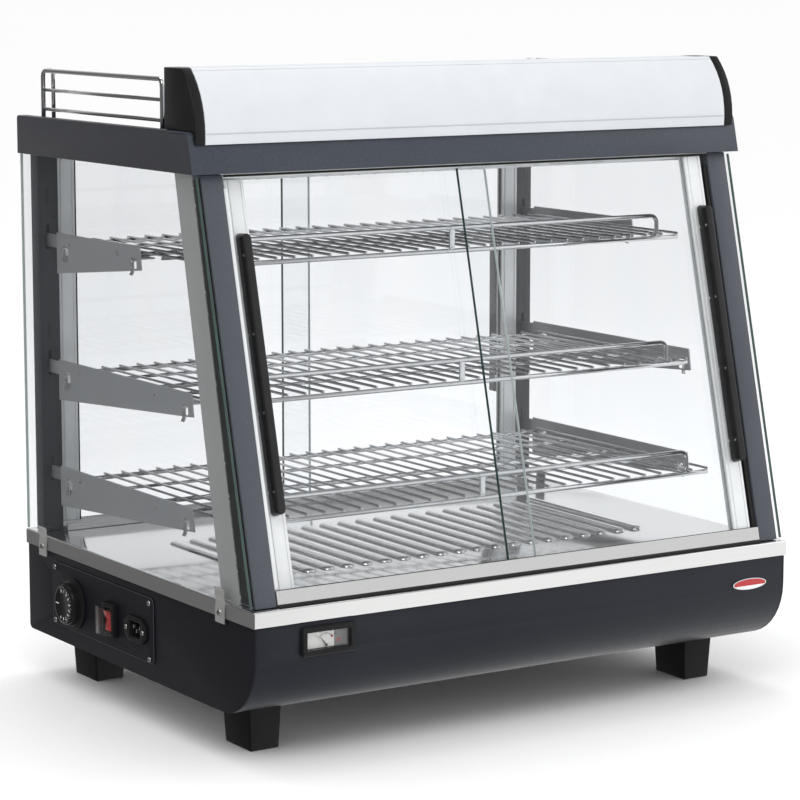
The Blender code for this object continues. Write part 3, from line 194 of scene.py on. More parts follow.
# %% Metals
def brushed(name, tint, along, rough, depth, metal=1.0):
    """Ground metal; along is 0, 1 or 2 for lines that run in x, y or z."""
    material, tree, shader = new_finish(name)
    scale = [1800.0, 1800.0, 1800.0]
    scale[along] = 9.0
    lines = noise(tree, placed(tree, scale), 1.0, 4.0, 0.6)
    cloud = noise(tree, placed(tree, (1, 1, 1)), 14, 2.0)
    pale = tuple(min(1.0, c * 1.03) for c in tint)
    deep = tuple(c * 0.96 for c in tint)
    tree.links.new(shades(tree, lines, (0.3, deep), (0.7, pale)), shader.inputs["Base Color"])
    blend = tree.nodes.new("ShaderNodeMath")
    blend.operation = "ADD"
    tree.links.new(spread(tree, lines, rough - 0.07, rough + 0.08), blend.inputs[0])
    tree.links.new(spread(tree, cloud, -0.03, 0.03), blend.inputs[1])
    tree.links.new(blend.outputs["Value"], shader.inputs["Roughness"])
    relief(tree, shader, lines, depth, 0.00006)
    values(shader, Metallic=metal)
    return material


steel_x = brushed("brushed_steel_across", (0.68, 0.685, 0.68), 0, 0.30, 0.18)
# A darker copy of the brushed steel: painted shade for the flanks of the deck's band.
shaded_band_steel = brushed("brushed_steel_band_painted_shade", (0.36, 0.352, 0.35), 1, 0.36, 0.2, 0.8)
strip_steel = brushed("brushed_steel_strip", (0.56, 0.56, 0.55), 2, 0.40, 0.35, 0.6)
bracket_steel = brushed("satin_bracket_steel", (0.44, 0.45, 0.46), 1, 0.38, 0.3, 0.6)
clip_steel = brushed("satin_clip_steel", (0.60, 0.60, 0.59), 2, 0.34, 0.3, 0.75)
pressed_steel = brushed("pressed_steel_deck", (0.88, 0.88, 0.875), 0, 0.10, 0.04)


def plated(name, tint, rough):
    material, tree, shader = new_finish(name)
    haze = noise(tree, placed(tree, (1, 1, 1)), 160, 3.0)
    tree.links.new(spread(tree, haze, rough * 0.6, rough * 1.6), shader.inputs["Roughness"])
    pale = tuple(min(1.0, c * 1.05) for c in tint)
    tree.links.new(shades(tree, haze, (0.3, tint), (0.75, pale)), shader.inputs["Base Color"])
    values(shader, Metallic=1.0)
    return material


chrome = plated("bright_chrome", (0.78, 0.79, 0.80), 0.10)
screw_steel = plated("zinc_plated_screw", (0.78, 0.78, 0.76), 0.20)
bright_wire = plated("bright_spring_wire", (0.92, 0.92, 0.92), 0.30)
print("metals:", steel_x.name, chrome.name)

# %% [markdown]
# ** Glass.** Float glass is clear face on and bottle green through its edge. A pane this thin hardly bends light, so its shader lets light straight through with a faint tint and mixes in a mirror that grows towards a glancing angle, by the fifth power that real glass follows closely. The bright interior then stays clear through two or three panes. The edges are separate strips in a dense green, or in a pale finish that is a painted highlight on some edges.

# %% Glass
def clear_glass(name, tint, smear):
    """Glass in thin panes: what isn't mirrored at the surface passes straight through, a little tinted."""
    material, tree, shader = new_finish(name)
    streaks = noise(tree, placed(tree, (4, 4, 1.5)), 3.0, 2.0)
    tree.links.new(spread(tree, streaks, 0.0, smear), shader.inputs["Roughness"])
    pale = tuple(0.5 + c / 2 for c in tint)
    tree.links.new(shades(tree, streaks, (0.2, tint), (0.9, pale)), shader.inputs["Base Color"])
    values(shader, Metallic=1.0)
    through = tree.nodes.new("ShaderNodeBsdfTransparent")
    tree.links.new(shades(tree, streaks, (0.2, tint), (0.9, pale)), through.inputs["Color"])
    glance = tree.nodes.new("ShaderNodeLayerWeight")
    glance.inputs["Blend"].default_value = 0.5
    steep = tree.nodes.new("ShaderNodeMath")
    steep.operation = "POWER"
    tree.links.new(glance.outputs["Facing"], steep.inputs[0])
    steep.inputs[1].default_value = 5.0
    mix = tree.nodes.new("ShaderNodeMixShader")
    tree.links.new(spread(tree, steep.outputs["Value"], 0.035, 1.0, 0.0, 1.0), mix.inputs["Fac"])
    tree.links.new(through.outputs["BSDF"], mix.inputs[1])
    tree.links.new(shader.outputs["BSDF"], mix.inputs[2])
    tree.links.new(mix.outputs["Shader"], tree.nodes["Material Output"].inputs["Surface"])
    return material


pane = clear_glass("clear_float_glass", (0.968, 0.975, 0.982), 0.010)
clear_cover = clear_glass("clear_soft_cover", (0.93, 0.93, 0.92), 0.10)
lens = clear_glass("clear_dial_lens", (0.98, 0.98, 0.98), 0.02)


def ground_edge(name, dark, light):
    """The ground edge of a pane: dense colour with a soft gloss."""
    material, tree, shader = new_finish(name)
    ripple = noise(tree, placed(tree, (60, 60, 4)), 1.0, 2.0)
    tree.links.new(shades(tree, ripple, (0.2, dark), (0.8, light)), shader.inputs["Base Color"])
    tree.links.new(spread(tree, ripple, 0.06, 0.16), shader.inputs["Roughness"])
    return material, shader


edge_glass, shader = ground_edge("green_glass_edge", (0.006, 0.026, 0.021), (0.022, 0.062, 0.052))
values(shader, Specular_IOR_Level=0.4, Coat_Weight=0.1, Coat_Roughness=0.05)
# A pale copy of the green edge: a painted highlight.
glass_edge_highlight, shader = ground_edge("glass_edge_painted_highlight", (0.42, 0.50, 0.48), (0.62, 0.68, 0.66))
values(shader, Specular_IOR_Level=0.6, Coat_Weight=0.5, Coat_Roughness=0.05)
print("glass:", pane.name, edge_glass.name, glass_edge_highlight.name)

# %% [markdown]
# ** Plastics and small finishes.** The light diffuser is opal acrylic with a faint glow of painted light. Knob, bezels and handles are black moulded plastic with a fine leather grain. The seals are matt rubber. The switch is a glossy red.

# %% Plastics
def moulded(name, slot, dark, light, rough, grain, depth, **extra):
    """Moulded plastic: grain is how many millimetre-size bumps, depth how strong."""
    material, tree, shader = new_finish(name)
    flat = placed(tree, (1, 1, 1))
    bumps = noise(tree, flat, grain, 2.0)
    drift = noise(tree, flat, 30, 2.0)
    tree.links.new(shades(tree, drift, (0.3, dark), (0.75, light)), shader.inputs["Base Color"])
    tree.links.new(spread(tree, bumps, rough - 0.04, rough + 0.05), shader.inputs["Roughness"])
    relief(tree, shader, bumps, depth, 0.0001)
    values(shader, **extra)
    return material


black_plastic = moulded("black_moulded_plastic", "black_plastic", (0.008, 0.008, 0.009),
                        (0.012, 0.012, 0.013), 0.30, 1500, 0.22, Specular_IOR_Level=0.20)
handle_black = moulded("black_handle_plastic", "black_plastic", (0.012, 0.012, 0.013),
                       (0.016, 0.016, 0.017), 0.24, 1100, 0.10, Specular_IOR_Level=0.32)
foot_rubber = moulded("black_foot_rubber", "black_plastic", (0.005, 0.005, 0.0055),
                      (0.008, 0.008, 0.0085), 0.52, 900, 0.4, Specular_IOR_Level=0.22)
seal_rubber = moulded("black_seal_rubber", "black_plastic", grey(0.006), grey(0.011), 0.55, 1300, 0.3)
red_plastic = moulded("red_rocker_plastic", "red_plastic", (0.30, 0.010, 0.012), (0.38, 0.014, 0.016),
                      0.22, 1400, 0.08, Coat_Weight=0.3)
needle_red = moulded("red_needle_paint", "needle_red", (0.45, 0.01, 0.01), (0.6, 0.02, 0.02), 0.4, 1400,
                     0.1)
print_white = moulded("white_printed_ink", "white_plastic", (0.72, 0.72, 0.70), (0.82, 0.82, 0.80),
                      0.5, 2200, 0.15)
print_black = moulded("black_printed_ink", "black_plastic", grey(0.008), grey(0.014), 0.5, 2200, 0.15)
dial_card_shade = moulded("dial_card_painted_shade", "white_plastic", grey(0.16), grey(0.22), 0.45, 1200, 0.1)
dial_white = moulded("white_dial_card", "white_plastic", (0.76, 0.76, 0.74), (0.84, 0.84, 0.82),
                     0.45, 1200, 0.1)
# The diffuser's faint emission is a painted glow.
opal = moulded("opal_light_diffuser", "white_plastic", (0.575, 0.595, 0.625), (0.605, 0.625, 0.655),
               0.45, 700, 0.06, Emission_Strength=0.06, Emission_Color=(0.93, 0.965, 1.0),
               Specular_IOR_Level=0.25)
opal_seam = moulded("opal_seam_shadow", "white_plastic", (0.46, 0.48, 0.50), (0.50, 0.52, 0.54),
                    0.5, 700, 0.1)
lamp_glass = moulded("frosted_lamp_glass", "white_plastic", (0.85, 0.86, 0.87), grey(0.9),
                     0.25, 900, 0.05)
badge_red = moulded("red_badge_enamel", "red_plastic", (0.42, 0.015, 0.02), (0.50, 0.02, 0.025),
                    0.18, 1200, 0.05, Coat_Weight=0.6)
badge_white = moulded("white_badge_enamel", "white_plastic", grey(0.80), grey(0.86),
                      0.18, 1200, 0.05, Coat_Weight=0.6)
heater_steel = brushed("blued_heater_steel", (0.20, 0.19, 0.19), 1, 0.42, 0.3)
stile_silver = moulded("silver_white_stile_lacquer", "aluminium", (0.76, 0.78, 0.79), (0.82, 0.84, 0.85),
                       0.30, 1500, 0.10, Metallic=0.25, Coat_Weight=0.2)

# %% [markdown]
# ## Tools for making pieces
# Each piece is one mesh. `Piece` gathers shapes into it: rounded blocks, bent rods, turned (lathe) shapes
# and drawn outlines. At the end it takes its finish, rides on its body and names the CAD nodes that it
# stands for.

# %% Piece builder
class Piece:
    """A mesh that grows by shapes, then becomes an object."""

    def __init__(self):
        self.mesh = bmesh.new()

    def add(self, shape, matrix=None):
        """Joins a bmesh into this piece."""
        if matrix is not None:
            bmesh.ops.transform(shape, matrix=matrix, verts=shape.verts)
        held = bpy.data.meshes.new("held")
        shape.to_mesh(held)
        shape.free()
        self.mesh.from_mesh(held)
        bpy.data.meshes.remove(held)

    def mirrored(self, side):
        """A piece drawn for the right goes to the left when side is -1."""
        if side < 0:
            bmesh.ops.scale(self.mesh, vec=(-1, 1, 1), verts=self.mesh.verts)
        return self

    def done(self, name, finish, body="cabinet", cad=(), angle=38):
        bmesh.ops.recalc_face_normals(self.mesh, faces=self.mesh.faces)
        data = bpy.data.meshes.new(name)
        self.mesh.to_mesh(data)
        self.mesh.free()
        return settle(bpy.data.objects.new(name, data), finish, body, cad, angle)


def settle(piece, finish, body, cad=(), angle=38):
    """Shading, finish, body and CAD nodes for a new object."""
    bpy.context.scene.collection.objects.link(piece)
    piece.data.materials.clear()
    piece.data.materials.append(finish)
    piece.data.shade_smooth()
    piece.data.set_sharp_from_angle(angle=math.radians(angle))
    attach(piece, body)
    if cad:
        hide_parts(*cad)
    return piece


def round_edges(shape, edges, radius, steps):
    """Rounds some edges of a shape."""
    bmesh.ops.bevel(shape, geom=edges, offset=radius, offset_type="OFFSET", segments=steps, profile=0.5,
                    affect="EDGES", clamp_overlap=True)


def pull(shape, corners, shift):
    """A face on the corners, pulled along shift; gives back the corners at the far end."""
    face = shape.faces.new([shape.verts.new(corner) for corner in corners])
    pulled = bmesh.ops.extrude_face_region(shape, geom=[face])
    far = [v for v in pulled["geom"] if isinstance(v, bmesh.types.BMVert)]
    bmesh.ops.translate(shape, verts=far, vec=shift)
    return far


def block(low, high, round_by=0.0005, steps=2):
    """A block with rounded edges between two corners."""
    shape = bmesh.new()
    bmesh.ops.create_cube(shape, size=1)
    size = [max(b - a, 1e-5) for a, b in zip(low, high)]
    middle = [(a + b) / 2 for a, b in zip(low, high)]
    place = Matrix.Translation(middle) @ Matrix.Diagonal((*size, 1))
    bmesh.ops.transform(shape, matrix=place, verts=shape.verts)
    round_edges(shape, shape.edges[:], min(round_by, min(size) * 0.45), steps)
    return shape


def drawn(points, depth, round_by=0.0, steps=2):
    """An outline in x and y pulled up to z = depth, with its upper edge rounded."""
    shape = bmesh.new()
    raised = set(pull(shape, [(x, y, 0) for x, y in points], (0, 0, depth)))
    if round_by:
        rim = [e for e in shape.edges if e.verts[0] in raised and e.verts[1] in raised]
        round_edges(shape, rim, round_by, steps)
    return shape


def rounded_outline(low, high, radius, steps=6):
    """Points of a rectangle with round corners."""
    points = []
    for cx, cy, start in ((high[0] - radius, high[1] - radius, 0), (low[0] + radius, high[1] - radius, 90),
                          (low[0] + radius, low[1] + radius, 180),
                          (high[0] - radius, low[1] + radius, 270)):
        for step in range(steps + 1):
            turn = math.radians(start + 90 * step / steps)
            points.append((cx + radius * math.cos(turn), cy + radius * math.sin(turn)))
    return points


def turned(profile, sides=32):
    """A lathe shape: profile is (radius, z) from one end of the axis to the other."""
    shape = bmesh.new()
    rings = []
    for radius, z in profile:
        if radius < 1e-6:
            rings.append([shape.verts.new((0, 0, z))])
        else:
            turns = [math.tau * k / sides for k in range(sides)]
            rings.append([shape.verts.new((radius * math.cos(t), radius * math.sin(t), z)) for t in turns])
    for low, high in zip(rings, rings[1:]):
        for k in range(sides):
            after = (k + 1) % sides
            corners = [low[k % len(low)], low[after % len(low)], high[after % len(high)],
                       high[k % len(high)]]
            unique = list(dict.fromkeys(corners))
            if len(unique) > 2:
                shape.faces.new(unique)
    return shape


def disc(radius, tall):
    """A thin round plate, such as the mouth of a small hole."""
    return turned([(radius, 0), (radius, tall), (0, tall)], 16)


def filleted(points, radius, steps=5):
    """The same line with each inner corner turned into an arc."""
    points = [Vector(p) for p in points]
    path = [points[0]]
    for before, corner, after in zip(points, points[1:], points[2:]):
        into, out = (before - corner).normalized(), (after - corner).normalized()
        angle = into.angle(out)
        if angle > math.radians(176):
            path.append(corner)
            continue
        shorter = min((before - corner).length, (after - corner).length)
        reach = min(radius / math.tan(angle / 2), shorter * 0.49)
        start, end = corner + into * reach, corner + out * reach
        for step in range(steps + 1):
            t = step / steps
            path.append(start * (1 - t) ** 2 + corner * 2 * t * (1 - t) + end * t ** 2)
    path.append(points[-1])
    return path


def rod(points, radius, bend=0.0, sides=10):
    """A round bar along a line, with bends of the given radius and domed ends."""
    path = filleted(points, bend) if bend else [Vector(p) for p in points]
    shape = bmesh.new()
    tangents = []
    for k, here in enumerate(path):
        ahead = path[min(k + 1, len(path) - 1)] - path[max(k - 1, 0)]
        tangents.append(ahead.normalized())
    side = tangents[0].orthogonal().normalized()
    rings = []
    for k, (here, along) in enumerate(zip(path, tangents)):
        side = (side - along * side.dot(along)).normalized()
        other = along.cross(side)
        ends = [(0.0, 1.0)]
        dome = radius * 0.35
        if k == 0:
            ends = [(0.0, 0.65), (dome, 1.0)]
        if k == len(path) - 1:
            ends = [(-dome, 1.0), (0.0, 0.65)]
        for shift, share in ends:
            rings.append([shape.verts.new(here + along * shift + (side * math.cos(math.tau * n / sides) +
                          other * math.sin(math.tau * n / sides)) * radius * share) for n in range(sides)])
    for low, high in zip(rings, rings[1:]):
        for n in range(sides):
            shape.faces.new((low[n], low[(n + 1) % sides], high[(n + 1) % sides], high[n]))
    shape.faces.new(rings[0][::-1])
    shape.faces.new(rings[-1])
    return shape


def refined(node, finish, round_by=0.0006, steps=2, body="cabinet", angle=30, name=None):
    """A copy of a CAD node's shape with its edges rounded, to stand for the node."""
    data = nodes[node].data.copy()
    shape = bmesh.new()
    shape.from_mesh(data)
    bmesh.ops.remove_doubles(shape, verts=shape.verts, dist=0.00002)
    bmesh.ops.dissolve_limit(shape, angle_limit=math.radians(1), verts=shape.verts, edges=shape.edges)
    sharp = [e for e in shape.edges if len(e.link_faces) == 2 and e.calc_face_angle(0) > math.radians(angle)]
    if round_by:
        round_edges(shape, sharp, round_by, steps)
    bmesh.ops.triangulate(shape, faces=[f for f in shape.faces if len(f.verts) > 4])
    shape.to_mesh(data)
    shape.free()
    return settle(bpy.data.objects.new(name or node + "_shape", data), finish, body, (node,), 28)


def facing(point, outward, up=(0, 0, 1)):
    """A matrix that sets a shape drawn in x and y on a surface: its z points outward, its y up."""
    outward = Vector(outward).normalized()
    up = (Vector(up) - outward * Vector(up).dot(outward)).normalized()
    across = up.cross(outward)
    turn = Matrix((across, up, outward)).transposed().to_4x4()
    return Matrix.Translation(point) @ turn


def lone(name, finish, shape, *place, **rest):
    """A piece made of a single shape."""
    piece = Piece()
    piece.add(shape, *place)
    piece.done(name, finish, **rest)


def loft(shape, rings, closed=True):
    """Joins rings of equal length with faces, and closes both ends."""
    for low, high in zip(rings, rings[1:]):
        for k in range(len(low)):
            after = (k + 1) % len(low)
            shape.faces.new((low[k], low[after], high[after], high[k]))
    if closed:
        shape.faces.new(rings[0])
    shape.faces.new(rings[-1])


def span(side, near, far):
    """Two distances from the middle as low and high x on the side -1 or 1."""
    return sorted((side * near, side * far))


sides = (("left", -1), ("right", 1))
print("piece tools ready")

# %% [markdown]
# ** Pan-head screws.** Sheet metal here is held by pan-head cross screws. One head is a turned dome with a flat rim, and the cross recess is a black plus of painted shade, sunk in it. All heads on a body go into one mesh.

# %% Screws
screw_heads = Piece()
screw_cross_shades = Piece()


def screw(point, outward, radius=0.0037, turn=20):
    """One pan head standing on a surface, with its cross turned by some degrees."""
    tall = radius * 0.62
    seat = facing(point, outward) @ Matrix.Rotation(math.radians(turn), 4, "Z")
    screw_heads.add(turned([(radius * 0.93, 0), (radius, tall * 0.18), (radius * 0.96, tall * 0.5),
                            (radius * 0.80, tall * 0.85), (radius * 0.55, tall), (0, tall * 1.02)], 24),
                            seat)
    arm, wide = radius * 0.52, radius * 0.13
    # The cross is black: painted shade for the recess.
    for swing in (0, 90):
        bar = block((-arm, -wide, tall * 0.9), (arm, wide, tall * 1.05), 0.00004, 1)
        screw_cross_shades.add(bar, seat @ Matrix.Rotation(math.radians(swing), 4, "Z"))


print("screw tool ready")

# %% [markdown]
# ## The base housing
# A folded painted box: one sheet wraps the front and curves under, a pan closes the back and underside, and two
# panels close the sides. The wrap wears a darker copy of the charcoal paint, and the pan and side panels a
# darker one still, as painted shade. The CAD has the right folds, so its shapes are kept and their edges
# rounded, as a press brake and a coat of powder leave them.

# %% Base
refined("base_front", base_charcoal, 0.0004)
refined("base_pan", shaded_black_coat, 0.0004)
for side in ("left", "right"):
    refined("base_side_" + side, shaded_black_coat, 0.0004)
for foot in ("foot_front_left", "foot_front_right", "foot_rear_left", "foot_rear_right"):
    refined(foot, foot_rubber, 0.0016, 3)
pan_low, pan_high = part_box("base_pan")
for x in (-0.300, -0.100, 0.100, 0.300):
    for z in (pan_low.z + 0.012, pan_high.z - 0.012):
        screw((x, pan_high.y - 0.0001, z), (0, 1, 0), 0.0034, 200 * abs(x) + 900 * z)
foot_studs = Piece()
for foot in ("foot_front_left", "foot_front_right", "foot_rear_left", "foot_rear_right"):
    low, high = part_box(foot)
    middle = (low + high) / 2
    foot_studs.add(turned([(0.009, high.z - 0.0006), (0.009, high.z + 0.0002), (0, high.z + 0.0002)], 24),
                   Matrix.Translation((middle.x, middle.y, 0)))
foot_studs.done("foot_washers", screw_steel)
print("base housing and feet")

# %% [markdown]
# ## The ribbed deck
# The heated deck is a polished stainless pan with rounded embossed ribs that run front to back. Each rib is a
# stack of shrinking round-ended outlines whose heights follow a smooth curve, so it takes long soft highlights.
# A thin, darker satin skin covers both flanks of the pan's band, as painted shade on its sides.

# %% Deck
rib_count, rib_pitch, rib_width = 21, 0.0234, 0.0165
rib_front, rib_rear = front_y + 0.1345, back_y - 0.1625
deck = Piece()
deck.add(block((-band_half, front_y, band_bottom), (band_half, back_y, deck_top), 0.0016, 4))


def rib(x):
    """One embossed rib with round ends."""
    shape = bmesh.new()
    rings = []
    levels = 9
    for level in range(levels):
        t = level / (levels - 1)
        inset = rib_width / 2 * 0.90 * t
        height = rib_height * math.sqrt(1 - (1 - t) ** 2) - 0.0001 * (level == 0)
        half = rib_width / 2 - inset
        points = []
        for end, start in ((rib_rear - rib_width / 2, 0), (rib_front + rib_width / 2, 180)):
            for k in range(9):
                turn = math.radians(start + 180 * k / 8)
                points.append(shape.verts.new((x + half * math.cos(turn), end + half * math.sin(turn),
                                               deck_top + height)))
        rings.append(points)
    loft(shape, rings, closed=False)
    return shape


for k in range(rib_count):
    deck.add(rib((k - (rib_count - 1) / 2) * rib_pitch))
deck.done("ribbed_deck", pressed_steel, cad=("deck_pan",), angle=45)
# Darker satin skins on both flanks of the band: painted shade.
for word, side in sides:
    near, far = span(side, band_half - 0.0004, band_half + 0.00015)
    lone("deck_band_shade_skin_" + word, shaded_band_steel, block((near, front_y + 0.0012, band_bottom + 0.0004),
                                                  (far, back_y - 0.0012, deck_top - 0.0014), 0.0002, 1))
print(rib_count, "ribs,", round(rib_rear - rib_front, 3), "m long")

# %% [markdown]
# ## Posts
# Two hollow painted posts lean at the front, and two pressed posts with shelf slots stand at the back.
# Along each front post runs a seal that the door closes on, silver on the left as a painted highlight and black
# on the right as painted shade. On its outer face a black sheet over the post's side is painted shade, and a
# grey steel strip carries the side glass, with a rod in a brighter plated finish along its folded edge as a
# painted highlight. The rear posts show their slots and keyholes as thin black shapes, painted shade.

# %% Posts
for post in ("front_post_left", "front_post_right"):
    refined(post, charcoal, 0.0007, 3)
# The rear posts wear a darker copy of the charcoal paint: painted shade.
for post in ("rear_post_left", "rear_post_right"):
    refined(post, rear_coat, 0.0004)

bracket_x, keyhole_x = 0.3155, 0.3077
slot_tops, slot_tall, slot_half = (0.5410, 0.3940, 0.2470), 0.0180, 0.0015
rear_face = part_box("rear_post_left")[0].y
# Slots and keyholes drawn as thin black shapes: painted shade.
post_slots = Piece()
for sign in (-1, 1):
    for top in slot_tops:
        outline = rounded_outline((-slot_half, -slot_tall), (slot_half, 0), 0.0014)
        post_slots.add(drawn(outline, 0.00015),
                       facing((sign * bracket_x, rear_face + 0.00002, top), (0, -1, 0)))
        post_slots.add(disc(0.0016, 0.00015),
                       facing((sign * keyhole_x, rear_face + 0.00002, top - 0.0310), (0, -1, 0)))
post_slots.done("rear_post_slot_shades", print_black)


def slab(corners, out_x, in_x):
    """A flat sheet along a post's outer face: corners are (inset, up), its faces at out_x and in_x."""
    shape = bmesh.new()
    pull(shape, [(post_outer + out_x, inset, up) for inset, up in corners], (in_x - out_x, 0, 0))
    bmesh.ops.recalc_face_normals(shape, faces=shape.faces)
    return shape


strip_low, strip_high = 0.0008, slope_length - 0.0008
seal_x = post_inner - 0.0001


def level_end(inset, end):
    """A corner of the strip, whose ends are cut level."""
    return inset, end + inset * math.tan(lean)


for word, side in sides:
    seal = Piece()
    seal.add(block((seal_x - 0.0052, 0.0105, 0.016), (seal_x, 0.0165, slope_length - 0.012), 0.0012, 2),
             slope)
    # The seal is silver on the left, a painted highlight, and black on the right, painted shade.
    seal.mirrored(side).done("front_post_seal_" + word, seal_rubber if side > 0 else stile_silver)
    strip = Piece()
    for near, far, out_x, in_x in (((0.0350, 0.0248), (0.0724, 0.0600), 0.00022, 0.00002),
                                   ((0.0440, 0.0440), (0.0720, 0.0596), 0.00002, -0.0012)):
        strip.add(slab((level_end(near[0], strip_low), level_end(far[0], strip_low),
                        level_end(far[1], strip_high), level_end(near[1], strip_high)), out_x, in_x), slope)
    strip.mirrored(side).done("glass_strip_" + word, strip_steel)
    # A black sheet over the post's side face: painted shade.
    side_shade_piece = Piece()
    side_shade_piece.add(slab(((0.0105, 0.006), (0.0342, 0.012), (0.0240, strip_high), (0.0105, strip_high)),
                  0.00002, 0.00022), slope)
    side_shade_piece.mirrored(side).done("post_side_shade_sheet_" + word, seal_rubber)
    # A rod in a brighter plated finish along the strip's folded edge: a painted highlight.
    bright = Piece()
    bright.add(rod([(post_outer + 0.0001, 0.0350, strip_low + 0.010),
                    (post_outer + 0.0001, 0.0248, strip_high)],
                   0.0007, sides=8), slope)
    bright.mirrored(side).done("glass_strip_highlight_" + word, screw_steel)
print("posts, seals and strips")

# %% [markdown]
# ## Side glass and its clips
# Each side is one leaning pane of 4 mm float glass, ground on all edges. It stands on the stainless band
# and is gripped by two sprung steel clips, bent in an S and screwed to the band's side.

# %% Side glass
for word, side in sides:
    refined("side_glass_" + word, pane, 0.0004, 1)
    low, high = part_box("side_glass_" + word)
    middle_x = abs(low.x + high.x) / 2
    near, far = span(side, middle_x - 0.0016, middle_x + 0.0016)
    lone("side_glass_edge_" + word, edge_glass,
         block((near, 0.00805, 0.004), (far, 0.0088, slope_length - 0.001), 0.0002, 1), slope)
    # The panes' rear edges are pale: a painted highlight.
    lone("side_glass_rear_edge_" + word, glass_edge_highlight,
         block((near, high.y - 0.0008, low.z + 0.0005), (far, high.y - 0.0001, high.z - 0.0005), 0.0002, 1))

clip_wide, clip_sheet = 0.018, 0.0012


def clip_line(foot, head):
    """The S bend of a clip: (out from the band's side, height)."""
    return [(0.0016, foot), (0.0016, foot + 0.0135), (0.0010, foot + 0.0185), (0.0006, foot + 0.0215),
            (0.0022, foot + 0.0270), (0.0016, head - 0.0016), (0.0032, head)]


clips = Piece()
for side in (-1, 1):
    for middle_y, foot, head in ((0.2085, 0.1395, 0.1715), (-0.1900, 0.1415, 0.1765)):
        shape = bmesh.new()
        rows = []
        line = filleted([Vector((out, 0, z)) for out, z in clip_line(foot, head)], 0.006, 4)
        for k, here in enumerate(line):
            ahead = (line[min(k + 1, len(line) - 1)] - line[max(k - 1, 0)]).normalized()
            across = Vector((ahead.z, 0, -ahead.x)) * clip_sheet / 2
            rows.append([shape.verts.new(here + shift + Vector((0, y, 0)))
                         for y in (-clip_wide / 2, clip_wide / 2) for shift in (across, -across)])
        loft(shape, [[row[0], row[1], row[3], row[2]] for row in rows])
        bmesh.ops.recalc_face_normals(shape, faces=shape.faces)
        base_x = band_half - 0.0002
        bmesh.ops.transform(shape, matrix=Matrix.Translation((base_x, middle_y, 0)), verts=shape.verts)
        if side < 0:
            bmesh.ops.scale(shape, vec=(-1, 1, 1), verts=shape.verts)
        clips.add(shape)
        screw((side * (base_x + 0.0021), middle_y, foot + 0.0105), (side, 0, 0), 0.0038, 15 + 40 * middle_y)
clips.done("glass_clips", clip_steel)
print("side panes, edges and four clips")

# %% [markdown]
# ## Rails and tracks
# The front doors run on a brushed stainless rail along the deck and in a thin silver comb track under the top,
# with a thin black strip along its front as a painted shadow line. The rear doors run between two stainless
# channels. A black seal lies along the top of the front rail, and below it a black strip paints the shadow
# there.

# %% Rails and tracks
refined("front_lower_rail", steel_x, 0.0006)
refined("rear_lower_track", steel_x, 0.0002, 1)
refined("rear_upper_track", steel_x, 0.0002, 1)
door_start, stile_depth, door_spacing = 0.0095, 0.010, 0.0145
rail_start = door_start - (door_spacing - stile_depth) / 2
rail_depth = 2 * door_spacing
rail_top = (rail_start + rail_depth) * math.tan(lean) + 0.0003 + 0.0095
rail_half = post_inner - 0.0006


def crossbar(low_y, high_y, low_z, high_z, round_by=0.0003, steps=1):
    """A bar that fills the opening between the front posts from side to side."""
    return block((-rail_half, low_y, low_z), (rail_half, high_y, high_z), round_by, steps)


lone("front_rail_seal", seal_rubber, crossbar(rail_start + 0.0001, rail_start + 0.0016, rail_top - 0.0020,
                                              rail_top + 0.0004, 0.0005, 2), slope)
# A black strip in front of the rail's foot: painted shadow.
lone("front_rail_shadow_strip", seal_rubber, crossbar(front_y + 0.0058, front_y + 0.0110, deck_top + 0.0001,
                                                deck_top + 0.0030, 0.0004))

upper_top = slope_length + rail_start * math.tan(lean) - 0.0006
upper_track = Piece()
upper_track.add(crossbar(rail_start, rail_start + rail_depth, upper_top - 0.0009, upper_top), slope)
for middle, drop in ((rail_start + 0.0020, 0.0016), (rail_start + rail_depth / 2, 0.0022),
                     (rail_start + rail_depth - 0.0008, 0.0022)):
    upper_track.add(crossbar(middle - 0.0007, middle + 0.0007, upper_top - drop, upper_top), slope)
upper_track.done("front_upper_comb_track", stile_silver, cad=("front_upper_track",))
# A thin black strip under the front of the track: a painted shadow line.
lone("front_upper_track_shadow_line", seal_rubber, crossbar(rail_start + 0.0001, rail_start + 0.0010,
                                                    upper_top - 0.0030, upper_top - 0.0001), slope)
print("rail top along the slope", round(rail_top, 4))

# %% [markdown]
# ## Sliding front doors
# Each door is a glass pane held along its outer edge in a grooved extrusion, with a black blade handle
# screwed to it. The extrusion's outline is drawn with two grooves and pulled up the slope, which is how it
# is really made. Everything on a door rides on the door's body, so it slides as one.

# %% Stile and handle makers
stile_width, handle_width, handle_depth = 0.0225, 0.010, 0.016
door_outer = post_inner - 0.009
handle_start, handle_length = 0.0905, slope_length - 0.0905 - 0.0555


def stile_outline(width, depth):
    """Outline of the edge extrusion, with two shallow grooves along its face and a slot for the glass."""
    lip, groove = 0.0008, 0.0010
    seat_low, seat_high = depth / 2 - 0.0022, depth / 2 + 0.0022
    return [(0, lip), (lip, 0), (0.0030, 0), (0.0034, groove), (0.0050, groove), (0.0054, 0),
            (width - 0.0054, 0), (width - 0.0050, groove), (width - 0.0034, groove), (width - 0.0030, 0),
            (width - lip, 0), (width, lip), (width, seat_low), (width - 0.0062, seat_low),
            (width - 0.0062, seat_high), (width, seat_high), (width, depth - lip), (width - lip, depth),
            (lip, depth), (0, depth - lip)]


def stile(side, face, bottom, top, outer=door_outer):
    """The extrusion for the door of one side, from bottom to top of the leaf."""
    shape = bmesh.new()
    outline = stile_outline(stile_width, stile_depth)
    loft(shape, [[shape.verts.new((side * (outer - across), face + depth, z)) for across, depth in outline]
                 for z in (bottom, top)])
    bmesh.ops.recalc_face_normals(shape, faces=shape.faces)
    return shape


